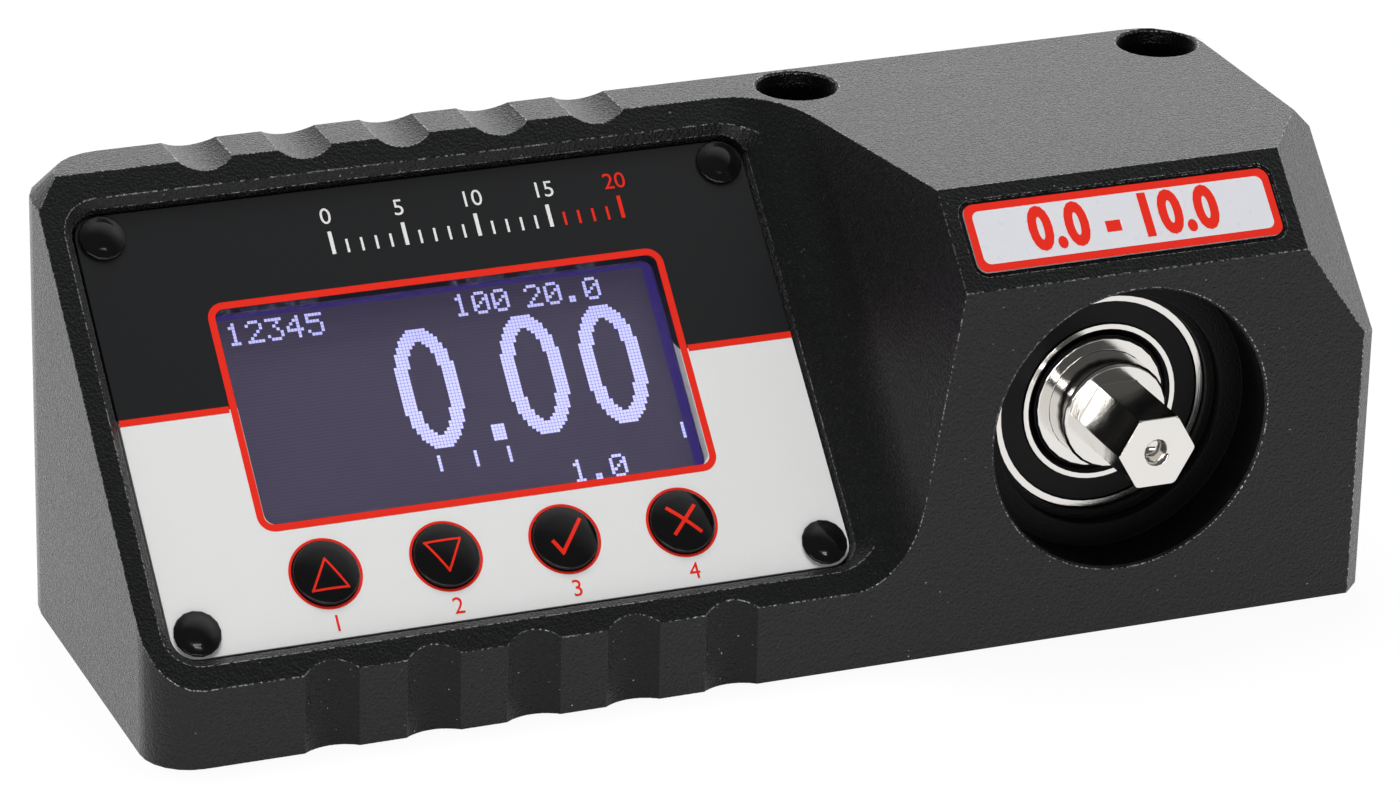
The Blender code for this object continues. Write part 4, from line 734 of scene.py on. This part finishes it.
add_bump(tree, shader, object_noise(tree, 250.0), 0.3, 0.0001)
paint(nodes["battery_pack"], sleeve)
sheath, tree, shader = new_finish("grey_sheath", (0.18, 0.18, 0.18, 1.0), 0.50)
add_bump(tree, shader, object_noise(tree, 1200.0), 0.2, 0.00003)
paint(nodes["gauge_lead"], sheath)


# Range label: a printed film in a shallow recess on the front bevel, stuck down, off-white
# with a red border. Its figures are plain ones. The prints lie on each other in thin layers.
LABEL_CENTRE = Vector((0.0513, -0.02285, 0.0592))
LABEL_TILT = math.radians(45)
LABEL_TOP = -0.00005
LABEL_WHITE = (0.645, 0.65, 0.685, 1.0)
LABEL_BORDER = (0.0460, 0.0101, 0.0015, 0.0)
LABEL_FIELD = (0.0438, 0.0079, 0.0011, 0.0)
LABEL_FIGURE_SIZE = 0.0084
LABEL_FIGURE_STRETCH = 0.78
LABEL_FIGURE_SWELL = 0.00042


def lay_on_label(piece, material, layer):
    """Lays a print on the label, in the given layer."""
    out = Vector((0.0, -math.sqrt(0.5), math.sqrt(0.5)))
    set_in_place(piece, LABEL_TILT, LABEL_CENTRE + out * (LABEL_TOP + layer * LINE_HEIGHT))
    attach(piece, "tester")
    paint(piece, material)


label_film, tree, shader = new_finish("label_film", LABEL_WHITE, 0.30)
vary_roughness(tree, shader, 900.0, 0.26, 0.38)
paint(finished_copy("range_label", "tester", 30), label_film)
lay_on_label(printed_frame("label_border", *LABEL_BORDER), red_print, 0)
lay_on_label(printed_frame("label_field", *LABEL_FIELD), label_film, 1)
figures = printed_text("label_figures", "0.0 - 10.0", LABEL_FIGURE_SIZE,
                       LABEL_FIGURE_STRETCH, LABEL_FIGURE_SWELL)
lay_on_label(figures, red_print, 2)


# The bench: a pale matt floor, a surround that is white behind the tester and dark in front
# of it, so that the panel has no glare, and three lamps. The soft one overhead shows in no
# shiny surface, the one behind lights the top and the strip in front lights the edges.
FLOOR_SIZE = 6.0
FLOOR_GREY = (0.85, 0.85, 0.85, 1.0)
FLOOR_GLOW_SHARE = 0.94
WHITE_SIDE = (0.46, 0.86, 0.20)
LAMP_TARGET = Vector((0, 0, 0.03))
bpy.ops.object.select_all(action="DESELECT")
bpy.ops.mesh.primitive_plane_add(size=FLOOR_SIZE)
floor = bpy.context.object
floor.name = "bench_top"
floor_finish = bpy.data.materials.new("bench_white")
floor_finish.use_nodes = True
tree = floor_finish.node_tree
tree.nodes.clear()
output = tree.nodes.new("ShaderNodeOutputMaterial")
diffuse = tree.nodes.new("ShaderNodeBsdfDiffuse")
diffuse.inputs["Color"].default_value = FLOOR_GREY
glow = tree.nodes.new("ShaderNodeEmission")
path = tree.nodes.new("ShaderNodeLightPath")
seen = tree.nodes.new("ShaderNodeMath")
seen.operation = "MAXIMUM"
tree.links.new(path.outputs["Is Camera Ray"], seen.inputs[0])
tree.links.new(path.outputs["Is Glossy Ray"], seen.inputs[1])
also = tree.nodes.new("ShaderNodeMath")
also.operation = "MAXIMUM"
tree.links.new(seen.outputs["Value"], also.inputs[0])
tree.links.new(path.outputs["Is Transmission Ray"], also.inputs[1])
share = tree.nodes.new("ShaderNodeMath")
share.operation = "MULTIPLY"
share.inputs[1].default_value = FLOOR_GLOW_SHARE
tree.links.new(also.outputs["Value"], share.inputs[0])
mix = tree.nodes.new("ShaderNodeMixShader")
tree.links.new(share.outputs["Value"], mix.inputs["Fac"])
tree.links.new(diffuse.outputs["BSDF"], mix.inputs[1])
tree.links.new(glow.outputs["Emission"], mix.inputs[2])
tree.links.new(mix.outputs["Shader"], output.inputs["Surface"])
paint(floor, floor_finish)

world = bpy.data.worlds.new("white_surround")
bpy.context.scene.world = world
world.use_nodes = True
tree = world.node_tree
tree.nodes.clear()
output = tree.nodes.new("ShaderNodeOutputWorld")
background = tree.nodes.new("ShaderNodeBackground")
place = tree.nodes.new("ShaderNodeTexCoord")
toward = tree.nodes.new("ShaderNodeVectorMath")
toward.operation = "DOT_PRODUCT"
toward.inputs[1].default_value = WHITE_SIDE
tree.links.new(place.outputs["Generated"], toward.inputs[0])
level = spread(tree, toward.outputs["Value"], -0.10, 0.50, 0.12, 1.0)
path = tree.nodes.new("ShaderNodeLightPath")
camera_or = tree.nodes.new("ShaderNodeMix")
camera_or.data_type = "FLOAT"
tree.links.new(path.outputs["Is Camera Ray"], camera_or.inputs["Factor"])
tree.links.new(level, camera_or.inputs["A"])
camera_or.inputs["B"].default_value = 1.0
tree.links.new(camera_or.outputs["Result"], background.inputs["Strength"])
tree.links.new(background.outputs["Background"], output.inputs["Surface"])

lamps = (("soft_lamp", (-0.05, 0.30, 1.25), 0.8, 0.7, 20.0, False),
         ("back_lamp", (0.55, 1.15, 0.52), 1.3, 0.9, 4.0, True),
         ("front_lamp", (-0.40, -1.15, 0.30), 1.3, 0.07, 3.4, True))
for name, place, length, width, power, shines in lamps:
    lamp_data = bpy.data.lights.new(name, "AREA")
    lamp_data.shape = "RECTANGLE"
    lamp_data.size = length
    lamp_data.size_y = width
    lamp_data.energy = power
    lamp = bpy.data.objects.new(name, lamp_data)
    lamp.location = place
    lamp.visible_glossy = shines
    lamp.visible_camera = False
    aim = LAMP_TARGET - lamp.location
    lamp.rotation_euler = aim.to_track_quat("-Z", "Y").to_euler()
    bpy.context.scene.collection.objects.link(lamp)

bpy.context.scene.view_settings.view_transform = "Standard"
